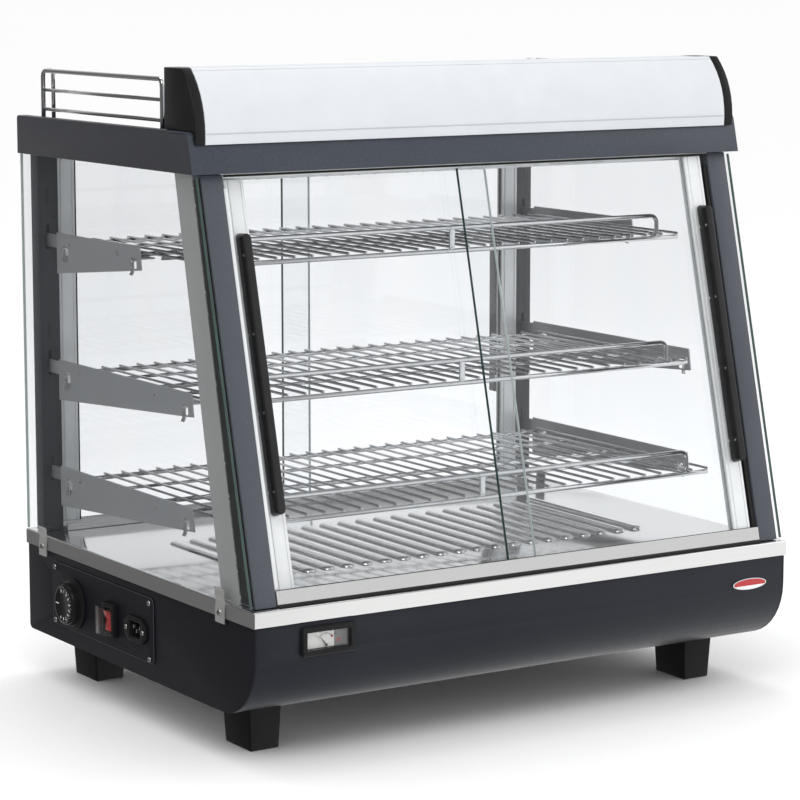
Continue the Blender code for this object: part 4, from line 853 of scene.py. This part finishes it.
def blade(face, x):
    """A black bar handle with half-round ends, standing off the stile."""
    radius = handle_width / 2
    outline = []
    for end, start in ((handle_start + handle_length - radius, 0), (handle_start + radius, 180)):
        for k in range(13):
            turn = math.radians(start + 180 * k / 12)
            outline.append((x + radius * math.cos(turn), end + radius * math.sin(turn)))
    shape = bmesh.new()
    outer = pull(shape, [(across, face, up) for across, up in outline], (0, -handle_depth, 0))
    middle = handle_start + handle_length / 2
    for vertex in outer:
        vertex.co.z += 0.0015 if vertex.co.z < middle else -0.0030
    bmesh.ops.recalc_face_normals(shape, faces=shape.faces)
    raised = set(outer)
    rim = [e for e in shape.edges if e.verts[0] in raised and e.verts[1] in raised]
    inner_rim = [e for e in shape.edges if e.verts[0] not in raised and e.verts[1] not in raised]
    round_edges(shape, rim, 0.0018, 4)
    round_edges(shape, [e for e in inner_rim if e.is_valid], 0.0024, 4)
    return shape


print("stile", stile_width, "x", stile_depth, "handle", round(handle_length, 3))

# %% [markdown]
# **Front doors.** The left door runs behind the right one, in its own track. Each gets its extrusion, pane,
# blade handle with small screws, a rim on the pane's free edge and a buffer along the outer edge.

# %% Front doors
flat = slope.inverted()
for word, side, face in (("left", -1, door_start + door_spacing), ("right", 1, door_start)):
    body = "front_door_" + word
    corners = [flat @ v.co for v in nodes[body + "_stile"].data.vertices]
    bottom, top = min(c.z for c in corners), max(c.z for c in corners)
    lone(body + "_edge_stile", stile_silver, stile(side, face, bottom, top), slope, body=body,
         cad=(body + "_stile",), angle=30)
    refined(body + "_glass", pane, 0.0003, 1, body)
    lone(body + "_blade_handle", handle_black, blade(face - 0.0003, side * (door_outer - 0.0100)), slope,
         body=body, cad=(body + "_handle",), angle=50)
    dots = Piece()
    for k in range(4):
        z = handle_start + 0.024 + k * (handle_length - 0.048) / 3
        for hand in (-1, 1):
            for out in (0.0022, 0.0132):
                place = slope @ Vector((side * (door_outer - 0.0100) + hand * handle_width / 2, face - out,
                                        z))
                dots.add(turned([(0.0014, -0.0001), (0.0012, 0.0002), (0, 0.0003)], 16),
                         facing(place, (hand, 0, 0)))
    dots.done(body + "_handle_screws", screw_steel, body)
    corners = [flat @ v.co for v in nodes[body + "_glass"].data.vertices]
    glass_x, glass_y = [c.x for c in corners], [c.y for c in corners]
    free = min(glass_x) if side > 0 else max(glass_x)
    near, far = sorted((free + side * 0.0001, free + side * 0.0007))
    # The left door's free edge is pale, a painted highlight; the right one is the green of the glass.
    lone(body + "_glass_edge", edge_glass if side > 0 else glass_edge_highlight,
         block((near, min(glass_y) + 0.0002, bottom + 0.0003), (far, max(glass_y) - 0.0002, top - 0.0003),
               0.0002, 1), slope, body=body)
    # The buffer is silver on the left door, a painted highlight, and black on the right, painted shade.
    near, far = span(side, door_outer + 0.0002, door_outer + 0.0022)
    lone(body + "_buffer_seal", seal_rubber if side > 0 else stile_silver,
         block((near, face + 0.0025, bottom + 0.004), (far, face + 0.0075, top - 0.004), 0.0008, 2), slope,
         body=body)
print("front doors")

# %% [markdown]
# ## Sliding rear doors
# The rear doors stand upright and are made in the same way, with a dark grip on the server's side.

# %% Rear doors
rear_outer = abs(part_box("rear_door_right_stile")[1].x)
for word, side in sides:
    body = "rear_door_" + word
    low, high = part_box(body + "_stile")
    glass_low, glass_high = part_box(body + "_glass")
    face = (glass_low.y + glass_high.y) / 2 - stile_depth / 2
    lone(body + "_edge_stile", stile_silver, stile(side, face, low.z, high.z, rear_outer), body=body,
         cad=(body + "_stile",), angle=30)
    refined(body + "_glass", pane, 0.0003, 1, body)
    free = glass_low.x if side > 0 else glass_high.x
    near, far = sorted((free + side * 0.0001, free + side * 0.0009))
    # The left door's free edge is pale, a painted highlight; the right one is the green of the glass.
    lone(body + "_glass_edge", edge_glass if side > 0 else glass_edge_highlight,
         block((near, glass_low.y + 0.0002, low.z + 0.0003), (far, glass_high.y - 0.0002, high.z - 0.0003),
               0.0002, 1), body=body)
    near, far = span(side, rear_outer - stile_width, rear_outer - stile_width + handle_width)
    lone(body + "_grip", handle_black, block((near, face + stile_depth - 0.0004, 0.270),
                                             (far, high.y, 0.470), 0.0020, 3), body=body)
    near, far = span(side, rear_outer - stile_width - 0.0022, rear_outer - stile_width - 0.0002)
    lone(body + "_glazing_bead", seal_rubber,
         block((near, face + 0.0014, low.z + 0.002), (far, face + 0.0028, high.z - 0.002), 0.0004, 1),
         body=body)
print("rear doors, outer edge at", round(rear_outer, 4))

# %% [markdown]
# ## Painted top and light box
# The top is a folded fascia that leans with the front, two end caps and a recessed plate. On it sits the
# light box: a bowed opal diffuser between two black moulded ends, with a seam near its lower edge.

# %% Top
# The fascia and caps wear darker copies of the charcoal paint and the plate the black one, as painted shade.
refined("top_fascia", fascia_coat, 0.0005, 2)
refined("top_plate", shaded_black_coat, 0.0004)
for side in ("left", "right"):
    refined("top_cap_" + side, cap_coat, 0.0011, 4)

# %% [markdown]
# ** Light box.** The diffuser bows forward, so its two seams follow its face. Each black end has a thin flange over the back edge, and the left end a crease that runs down beside the diffuser, drawn as thin dark matt rods of painted shade.

# %% Light box
diffuser_shape = refined("light_diffuser", opal, 0.0004)
bpy.context.view_layer.update()
refined("light_back", opal, 0.0003)
for side in ("left", "right"):
    refined("light_end_" + side, black_plastic, 0.0012, 3)
diffuser_low, diffuser_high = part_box("light_diffuser")
end_low, end_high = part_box("light_end_left")


def bow_y(z):
    """Y of the diffuser's outer face at a height, found by a ray from the front."""
    return diffuser_shape.ray_cast((0, -1, z), (0, 1, 0))[1].y


half_light = diffuser_high.x
seam_z, top_z = diffuser_low.z + 0.0105, diffuser_high.z - 0.0030
seams = Piece()
for z, proud, deep, half in ((seam_z, 0.00045, 0.0008, 0.0006), (top_z, 0.0001, 0.0010, 0.0004)):
    seams.add(block((-half_light + 0.001, bow_y(z) - proud, z - half),
                    (half_light - 0.001, bow_y(z) + deep, z + half), 0.0002, 1))
seams.done("diffuser_seams", opal_seam)

flange = Piece()
for side in (-1, 1):
    lap = 0.0150 if side > 0 else 0.004
    near, far = span(side, half_light + 0.0003, half_light - lap)
    flange.add(block((near, diffuser_high.y + 0.004, end_high.z - 0.0004), (far, end_high.y, end_high.z),
                     0.0001, 1))
flange.done("light_box_end_flanges", black_plastic)

# Thin dark matt rods along the crease: painted shade.
crease = Piece()
tall = diffuser_high.z - diffuser_low.z - 0.004
heights = [diffuser_low.z + 0.002 + k * tall / 20 for k in range(21)]
for x in (end_low.x + 0.0002, end_high.x - 0.0002):
    crease.add(rod([Vector((x, bow_y(z) + 0.0042, z)) for z in heights], 0.00035, sides=6))
crease.done("light_end_crease_shades", seal_rubber)
print("light box, seam at", round(seam_z, 4))

# %% [markdown]
# **Inside the light box** a frosted fluorescent tube lies between two end caps with short pins.

# %% Lamp
tube_low, tube_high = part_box("lamp_tube")
tube_y, tube_z = (tube_low.y + tube_high.y) / 2, (tube_low.z + tube_high.z) / 2
tube_radius = (tube_high.z - tube_low.z) / 2
tube_length = tube_high.x - tube_low.x
tube_shoulder, tube_wall = tube_radius * 0.7, tube_radius * 0.97
lone("frosted_lamp", lamp_glass, turned([(0, 0.006), (tube_shoulder, 0.006), (tube_wall, 0.012),
                                         (tube_wall, tube_length - 0.012),
                                         (tube_shoulder, tube_length - 0.006), (0, tube_length - 0.006)],
                                         24), facing((tube_low.x, tube_y, tube_z), (1, 0, 0)),
                                         cad=("lamp_tube",))
lamp_caps = Piece()
for start, outward in ((tube_low.x, (1, 0, 0)), (tube_high.x, (-1, 0, 0))):
    lamp_caps.add(turned([(0, 0), (tube_radius * 0.9, 0), (tube_radius, 0.001), (tube_radius, 0.013),
                          (tube_wall, 0.014)], 24), facing((start, tube_y, tube_z), outward))
lamp_caps.done("lamp_end_caps", screw_steel)
print("lamp", round(tube_length, 3), "m")

# %% [markdown]
# ## Guard rails
# Two chrome wire rails keep trays on the top. Each is bent from 5 mm rod: the top bar turns down into the
# outer rear leg, a short return carries a second leg, and two thinner bars are welded below. Small collars
# sit low down.

# %% Guard rails
guard_half = 0.0025
for word, side in sides:
    low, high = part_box("guard_rail_" + word)
    x = side * (max(abs(low.x), abs(high.x)) - guard_half)
    inner = x - side * 0.012
    y_front, y_rear = low.y + guard_half, high.y - guard_half
    foot, crown = low.z, high.z - guard_half
    guard = Piece()
    guard.add(rod([(x, y_front, foot), (x, y_front, crown), (x, y_rear, crown), (x, y_rear, foot)],
                  guard_half, 0.008, 12))
    guard.add(rod([(x, y_rear - 0.010, crown), (x - side * 0.004, y_rear - 0.001, crown),
                   (inner, y_rear, crown), (inner, y_rear, foot)], guard_half * 0.92, 0.006, 12))
    for step in (1, 2):
        z = crown - step * 0.0205
        guard.add(rod([(x, y_front, z), (x, y_rear, z)], guard_half * 0.8, 0, 10))
    guard.done("guard_rail_wires_" + word, chrome, cad=("guard_rail_" + word,), angle=50)
    collars = Piece()
    for leg_x, leg_y in ((x, y_front), (x, y_rear), (inner, y_rear)):
        collars.add(turned([(guard_half, 0), (guard_half * 1.5, 0.0003), (guard_half * 1.5, 0.0035),
                            (guard_half, 0.0042)], 20), Matrix.Translation((leg_x, leg_y, foot + 0.0003)))
    collars.done("guard_rail_collars_" + word, black_plastic)
print("guard rails")

# %% [markdown]
# ## Wire shelves and brackets
# Three chrome wire shelves hang on pressed brackets hooked in the rear posts. Thin wires run front to back
# over thicker cross bars, and a raised guard rod at the front ends in loops, with a flat tab that supports
# its middle.

# %% Shelves
shelf_bar, shelf_wire = 0.0025, 0.0015
for word in ("lower", "middle", "upper"):
    low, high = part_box("shelf_" + word)
    half = high.x
    level = high.z - 0.0215
    front, rear = low.y, high.y
    bar_z = level - 0.003 - shelf_bar
    rack = Piece()
    main_bars = (front + shelf_bar, (front + rear) / 2, rear - shelf_bar)
    thin_bars = (front + 0.30 * (rear - front), front + 0.76 * (rear - front))
    for y in sorted(main_bars + thin_bars):
        thick = shelf_bar if y in main_bars else shelf_bar * 0.7
        z = level - 0.003 - thick
        rack.add(rod([(-half, y, z), (half, y, z)], thick, 0, 10))
    count = round((2 * half - 0.003) / 0.0211)
    for k in range(count + 1):
        x = -half + shelf_wire + k * (2 * half - 2 * shelf_wire) / count
        rack.add(rod([(x, front + 0.0008, level - shelf_wire), (x, rear - 0.0008, level - shelf_wire)],
                     shelf_wire, 0, 8))
    reach = half - 0.027 - shelf_bar
    guard_z = high.z - shelf_bar
    rack.add(rod([(-reach, front + 0.016, bar_z + 0.0042), (-reach, front + shelf_bar, bar_z + 0.003),
                  (-reach, front + shelf_bar, guard_z), (reach, front + shelf_bar, guard_z),
                  (reach, front + shelf_bar, bar_z + 0.003), (reach, front + 0.016, bar_z + 0.0042)],
                 shelf_bar, 0.009, 12))
    rack.add(block((-0.0035, front + 0.0012, bar_z), (0.0035, front + 0.0030, guard_z), 0.0006, 2))
    rack.done("wire_shelf_" + word, chrome, cad=("shelf_" + word,), angle=50)
    print("shelf", word, "at", round(level, 4), "with", count + 1, "wires")

# %% [markdown]
# **Brackets.** Each shelf hangs on a left and a right plate. Every plate has two rivets, and two hairpin
# clips of bright wire hold it to the rod it carries.

# %% Brackets
rivets = Piece()
wire_clips = Piece()
plate_rear = rear_face - 0.023
bracket_sheet = 0.0015
for word in ("lower", "middle", "upper"):
    for hand, side in sides:
        name = f"bracket_{word}_{hand}"
        refined(name, bracket_steel, 0.00025, 1)
        low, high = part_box(name)
        outside = side * bracket_x
        inside = outside - side * bracket_sheet
        for share in (0.16, 0.73):
            y = plate_rear + share * (low.y - plate_rear)
            rivets.add(turned([(0.0024, -0.0001), (0.0024, 0.0006), (0.0019, 0.0012), (0.0, 0.0013)], 20),
                       facing((outside, y, high.z - 0.0105), (side, 0, 0)))
            rivets.add(turned([(0.0021, -0.0001), (0.0021, 0.0036), (0.0016, 0.0042), (0.0, 0.0042)], 20),
                       facing((inside, y, high.z - 0.0105), (-side, 0, 0)))
        middle = high.z - 0.018
        for clip_y in (low.y + 0.016, plate_rear - 0.022):
            for apart in (-0.0017, 0.0017):
                y = clip_y + apart
                wire_clips.add(rod([(inside - side * 0.006, y, middle + 0.0035),
                                    (outside + side * 0.0016, y, middle + 0.0030),
                                    (outside + side * 0.0020, y - 0.0010, middle - 0.0040),
                                    (outside + side * 0.0016, y, middle - 0.0085),
                                    (outside + side * 0.0030, y + 0.0010, middle - 0.0120)],
                                   0.0012, 0.003, 10))
rivets.done("bracket_rivets", bright_wire)
wire_clips.done("bracket_wire_clips", bright_wire)
print("six brackets with rivets and wire clips")

# %% [markdown]
# ## Control panel
# The left side of the base carries a screwed plate with the thermostat knob, a red rocker under a clear splash
# cover and the appliance inlet. The plate's thin raised edge is a narrow frame round the outline, in the
# lighter charcoal paint as a painted highlight.

# %% Control plate
plate_low, plate_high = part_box("control_plate")
# The plate wears the black copy of the paint: painted shade.
refined("control_plate", shaded_black_coat, 0.0004)
for y in (plate_low.y + 0.010, plate_high.y - 0.0065):
    for z in (plate_low.z + 0.0047, plate_high.z - 0.0064):
        screw((plate_low.x - 0.0001, y, z), (-1, 0, 0), 0.0029, 10 + 300 * abs(y))
inlet_low, inlet_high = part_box("power_inlet")
inlet_y, inlet_z = (inlet_low.y + inlet_high.y) / 2, (inlet_low.z + inlet_high.z) / 2
# The pilot holes are thin black discs: painted shade.
hole_shades = Piece()
for z in (inlet_z - 0.0195, inlet_z + 0.0195):
    hole_shades.add(disc(0.0016, 0.00012), facing((plate_low.x, inlet_y, z), (-1, 0, 0)))
hole_shades.done("plate_pilot_hole_shades", print_black)
trim_inset, trim_radius = 0.0006, 0.00025
outline = rounded_outline((plate_low.y + trim_inset, plate_low.z + trim_inset),
                          (plate_high.y - trim_inset, plate_high.z - trim_inset), 0.0055)
points = [Vector((plate_low.x, y, z)) for y, z in outline]
# The plate's rim in lighter paint: a painted highlight.
lone("plate_edge_highlight", charcoal, rod(points + [points[0]], trim_radius, 0, 6))
print("control plate", [round(v, 3) for v in plate_low])

# %% [markdown]
# **Knob.** A turned dial with a ribbed grip. A white pointer line shows to the rear at rest, and generic
# numbers and ticks are printed round the front half of its face. The numbers are text turned into mesh, so
# that they ride with the knob like any other piece.

# %% Knob
knob_low, knob_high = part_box("thermostat_knob")
knob_centre = Vector((knob_high.x, (knob_low.y + knob_high.y) / 2, (knob_low.z + knob_high.z) / 2))
knob_seat = facing(knob_centre, (-1, 0, 0))
skirt, grip_radius = 0.0280, 0.0225
dial = Piece()
dial.add(turned([(0.0034, 0.0004), (0.0278, 0.0), (skirt, 0.0004), (skirt, 0.0016), (0.0274, 0.0024),
                 (0.0232, 0.0030), (grip_radius, 0.0036), (grip_radius, 0.0090), (0.0222, 0.0112),
                 (0.0212, 0.0128), (0.0196, 0.0137), (0.0180, 0.0139), (0.0172, 0.0134), (0.0, 0.0133)],
                 64), knob_seat)
for k in range(36):
    turn = Matrix.Rotation(math.tau * k / 36, 4, "Z")
    dial.add(rod([(grip_radius - 0.0001, 0, 0.0040), (grip_radius - 0.0001, 0, 0.0104)], 0.0005, 0, 6),
             knob_seat @ turn)
dial.done("turned_dial_knob", black_plastic, "knob", ("thermostat_knob",), 35)


def label(text, size, matrix, into):
    """Adds one printed word to a piece, as a thin raised mesh."""
    curve = bpy.data.curves.new("label", "FONT")
    curve.body = text
    curve.size = size
    curve.extrude = 0.00005
    curve.resolution_u = 2
    curve.align_x = "CENTER"
    curve.align_y = "CENTER"
    holder = bpy.data.objects.new("label", curve)
    bpy.context.scene.collection.objects.link(holder)
    bpy.context.view_layer.update()
    drawn_mesh = bpy.data.meshes.new_from_object(holder.evaluated_get(bpy.context.evaluated_depsgraph_get()))
    shape = bmesh.new()
    shape.from_mesh(drawn_mesh)
    bpy.data.objects.remove(holder)
    bpy.data.curves.remove(curve)
    bpy.data.meshes.remove(drawn_mesh)
    into.add(shape, matrix)


marks = Piece()
for k in range(10):
    turn = Matrix.Rotation(math.radians(15 - k * 24), 4, "Z")
    label(str(k), 0.0052, knob_seat @ turn @ Matrix.Translation((0, 0.0150, 0.01335)), marks)
for k in range(19):
    turn = Matrix.Rotation(math.radians(15 - k * 12), 4, "Z")
    marks.add(block((-0.00015, 0.0185, 0.0132), (0.00015, 0.0198, 0.01385), 0.00003, 1), knob_seat @ turn)
marks.add(block((-0.0005, 0.0100, 0.01325), (0.0005, 0.0180, 0.01345), 0.00003, 1),
          knob_seat @ Matrix.Rotation(math.radians(90), 4, "Z"))
marks.done("knob_numbers", print_white, "knob")
refined("thermostat_body", screw_steel, 0.0006)
print("knob at", [round(v, 4) for v in knob_centre])

# %% [markdown]
# **Rocker switch and inlet.** The red rocker tilts in a black bezel under a clear cover. The inlet is a
# black eared flange with two bright screws and three flat pins.

# %% Switch and inlet
refined("switch_housing", black_plastic, 0.0006, 3)
refined("switch_rocker", red_plastic, 0.0008, 3, "rocker")
refined("switch_cover", clear_cover, 0.0004, 2)
refined("power_inlet", black_plastic, 0.0005, 3)
for side in (-1, 1):
    screw((inlet_low.x - 0.0001, inlet_y + side * 0.0185, inlet_z), (-1, 0, 0), 0.0026, 25 + 30 * side)
pins = Piece()
for y, z in ((-0.007, 0.002), (0.0, -0.002), (0.007, 0.002)):
    pins.add(block((inlet_low.x + 0.0024, inlet_y + y - 0.00105, inlet_z + z - 0.00205),
                   (inlet_low.x + 0.0155, inlet_y + y + 0.00105, inlet_z + z + 0.00205), 0.0005, 2))
pins.done("inlet_pins", screw_steel)
print("switch and inlet")

# %% [markdown]
# ## Thermometer
# A small dial thermometer is set in the front, with a black bezel, a white card, ticks and generic numbers.
# The card is darker grey on its right, a painted shade, and has a short red zone at the hot end.

# %% Thermometer
refined("thermometer_case", black_plastic, 0.0010, 3, name="thermometer_bezel")
case_low, case_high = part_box("thermometer_case")
face_y = -0.2486
card_low = (case_low.x + 0.0062, case_low.z + 0.0062)
card_high = (case_high.x - 0.0062, case_high.z - 0.0062)
lone("thermometer_card", dial_white, block((card_low[0], face_y, card_low[1]),
                                           (card_high[0], face_y + 0.0004, card_high[1]), 0.0001, 1))
# A darker grey over the card's right part: painted shade.
lone("thermometer_card_shade", dial_card_shade, block((card_high[0] - 0.0150, face_y - 0.00006, card_low[1]),
                                               (card_high[0], face_y + 0.0003, card_high[1]), 0.0001, 1))
hub = Vector((-0.2485, face_y - 0.0001, 0.1205))
ticks = Piece()
for k in range(17):
    turn = math.radians(-48 + 6 * k)
    tall = 0.0022 if k % 4 == 0 else 0.0012
    seat = facing(hub, (0, -1, 0)) @ Matrix.Rotation(-turn, 4, "Z")
    ticks.add(block((-0.00016, 0.0122 - tall, -0.0001), (0.00016, 0.0122, 0.00014), 0.00003, 1), seat)
for k, text in enumerate(("0", "25", "50", "75", "100")):
    turn = math.radians(-48 + 24 * k)
    place = hub + Vector((math.sin(turn) * 0.0144, 0, math.cos(turn) * 0.0144))
    if place.z < card_high[1] - 0.001:
        label(text, 0.0024, facing(place, (0, -1, 0)), ticks)
ticks.done("thermometer_ticks", print_black)
red_arc = Piece()
for k in range(6):
    turn = math.radians(36 + 2.4 * k)
    seat = facing(hub, (0, -1, 0)) @ Matrix.Rotation(-turn, 4, "Z")
    red_arc.add(block((-0.0004, 0.0096, -0.0001), (0.0004, 0.0118, 0.00011), 0.00003, 1), seat)
red_arc.add(turned([(0.0021, -0.0001), (0.0021, 0.00014), (0.0012, 0.00014), (0.0012, -0.0001)], 24),
            facing(hub + Vector((0.0150, 0, 0.0035)), (0, -1, 0)))
red_arc.done("thermometer_red_zone", needle_red)
pointer_needle = Piece()
rest = math.radians(-38)
needle_seat = facing(Vector((-0.2485, -0.2502, 0.1205)), (0, -1, 0)) @ Matrix.Rotation(-rest, 4, "Z")
taper = [(-0.0006, -0.0015), (0.0006, -0.0015), (0.00052, 0.004), (0.00012, 0.0119), (-0.00012, 0.0119),
         (-0.00052, 0.004)]
pointer_needle.add(drawn(taper, 0.0005), needle_seat)
pointer_needle.add(turned([(0.0014, 0), (0.0014, 0.0006), (0.0010, 0.0008), (0, 0.0008)], 20), needle_seat)
pointer_needle.done("thermometer_pointer", print_black, "needle", ("thermometer_needle",))
lone("thermometer_lens", lens, block((card_low[0] - 0.0002, case_low.y + 0.0028, card_low[1] - 0.0002),
                                     (card_high[0] + 0.0002, case_low.y + 0.0036, card_high[1] + 0.0002),
                                     0.0002, 1))
print("thermometer hub", [round(v, 4) for v in hub])

# %% [markdown]
# ## Badge
# The badge is a plain enamelled oval with no writing: its upper part is red and its lower part white.

# %% Badge
badge_low, badge_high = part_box("badge")
badge_centre = Vector(((badge_low.x + badge_high.x) / 2, badge_high.y, (badge_low.z + badge_high.z) / 2))
badge_a, badge_b = (badge_high.x - badge_low.x) / 2, (badge_high.z - badge_low.z) / 2
badge_seat = facing(badge_centre, (0, -1, 0))


def oval(a, b, from_turn=0.0, to_turn=360.0, steps=40):
    """Points round an oval, or round a part of it."""
    sweep = to_turn - from_turn
    last = steps if sweep < 360 else steps - 1
    turns = [math.radians(from_turn + sweep * k / steps) for k in range(last + 1)]
    return [(a * math.cos(turn), b * math.sin(turn)) for turn in turns]


lone("oval_badge_rim", chrome, drawn(oval(badge_a, badge_b), 0.0012, 0.0004), badge_seat, cad=("badge",))
lone("oval_badge_lower", badge_white, drawn(oval(badge_a * 0.93, badge_b * 0.86), 0.0013), badge_seat)
lone("oval_badge_upper", badge_red, drawn(oval(badge_a * 0.93, badge_b * 0.86, -18, 198, 30), 0.0014),
     badge_seat)
print("badge", round(badge_a * 2, 4), "x", round(badge_b * 2, 4))

# %% [markdown]
# ## Heating element
# Under the deck a sheathed element runs in four parallel passes. It shows only from below, yet it gets its
# blued steel finish and stays in place.

# %% Heating element
refined("heating_element", heater_steel, 0.0)
screw_heads.done("screw_heads", screw_steel)
screw_cross_shades.done("screw_cross_shades", print_black)
print("screws placed")

# %% [markdown]
# ## Floor, light and camera
# The case stands on a plain pale floor in a soft studio. Three softboxes light it: a broad key from the upper
# left, a weaker one from the right and one overhead. The surround is plain white to the eye, but mirrors see it
# darker towards the left and overhead, which gives the steel and chrome their contrast. They do not see the
# floor.

# %% Stage
floor_mesh = bmesh.new()
bmesh.ops.create_grid(floor_mesh, x_segments=8, y_segments=8, size=90)
floor_data = bpy.data.meshes.new("studio_floor")
floor_mesh.to_mesh(floor_data)
floor_mesh.free()
floor = bpy.data.objects.new("studio_floor", floor_data)
bpy.context.scene.collection.objects.link(floor)
floor_paint = bpy.data.materials.new("studio_floor_paper")
floor_paint.use_nodes = True
paper = floor_paint.node_tree.nodes["Principled BSDF"]
fibres = noise(floor_paint.node_tree, placed(floor_paint.node_tree, (1, 1, 1)), 40, 3.0)
floor_paint.node_tree.links.new(shades(floor_paint.node_tree, fibres, (0.2, (0.95, 0.95, 0.95)),
                                       (0.8, (0.97, 0.97, 0.97))), paper.inputs["Base Color"])
values(paper, Roughness=0.9, Specular_IOR_Level=0.2)
floor.data.materials.append(floor_paint)

scene = bpy.context.scene
world = bpy.data.worlds.new("studio")
scene.world = world
world.use_nodes = True
room = world.node_tree
room.nodes.clear()
heading = room.nodes.new("ShaderNodeTexCoord")
parts = room.nodes.new("ShaderNodeSeparateXYZ")
room.links.new(heading.outputs["Generated"], parts.inputs["Vector"])
across_room = spread(room, parts.outputs["X"], 0.13, 0.95, -0.40, 0.40)
up_room = spread(room, parts.outputs["Z"], 1.0, 0.50, 0.20, 0.70)
mirrored = room.nodes.new("ShaderNodeMath")
mirrored.operation = "MULTIPLY"
room.links.new(across_room, mirrored.inputs[0])
room.links.new(up_room, mirrored.inputs[1])
rays = room.nodes.new("ShaderNodeLightPath")
level = room.nodes.new("ShaderNodeMix")
room.links.new(rays.outputs["Is Glossy Ray"], level.inputs["Factor"])
level.inputs["A"].default_value = 1.05
room.links.new(mirrored.outputs["Value"], level.inputs["B"])
paper_sky = room.nodes.new("ShaderNodeBackground")
paper_sky.inputs["Color"].default_value = (1.0, 1.0, 1.0, 1)
room.links.new(level.outputs["Result"], paper_sky.inputs["Strength"])
sky_end = room.nodes.new("ShaderNodeOutputWorld")
room.links.new(paper_sky.outputs["Background"], sky_end.inputs["Surface"])
floor.visible_glossy = False
scene.view_settings.view_transform = "Standard"


def softbox(name, place, aim, size, power, colour=(1, 1, 1)):
    """A square area light that looks at a point."""
    light = bpy.data.lights.new(name, "AREA")
    light.shape = "RECTANGLE"
    light.size, light.size_y = size
    light.energy = power
    light.color = colour
    holder = bpy.data.objects.new(name, light)
    holder.location = place
    holder.rotation_euler = (Vector(aim) - Vector(place)).to_track_quat("-Z", "Y").to_euler()
    scene.collection.objects.link(holder)
    return holder


softbox("key_softbox", (-1.2, -1.8, 2.6), (0, 0, 0.35), (1.6, 1.6), 20)
softbox("side_softbox", (2.4, -1.0, 1.6), (0, 0, 0.35), (1.4, 1.8), 6)
softbox("top_softbox", (0.2, 0.6, 2.6), (0, 0, 0.3), (2.0, 1.2), 12)
print("lights")

# %% [markdown]
# **Camera.** It stands to the front left, a little above the case's height, with a long lens.

# %% Camera
camera_data = bpy.data.cameras.new("studio_camera")
camera_data.lens = 130.98
camera_data.sensor_width = 36.0
camera_data.clip_start = 0.05
camera_data.clip_end = 400
camera_data.dof.use_dof = False
camera = bpy.data.objects.new("studio_camera", camera_data)
camera.location = (-1.68875, -2.63998, 0.78484)
camera.rotation_euler = (math.radians(90 - 8.591), 0, math.radians(-32.561))
scene.collection.objects.link(camera)
scene.camera = camera
print("camera", [round(v, 3) for v in camera.location])
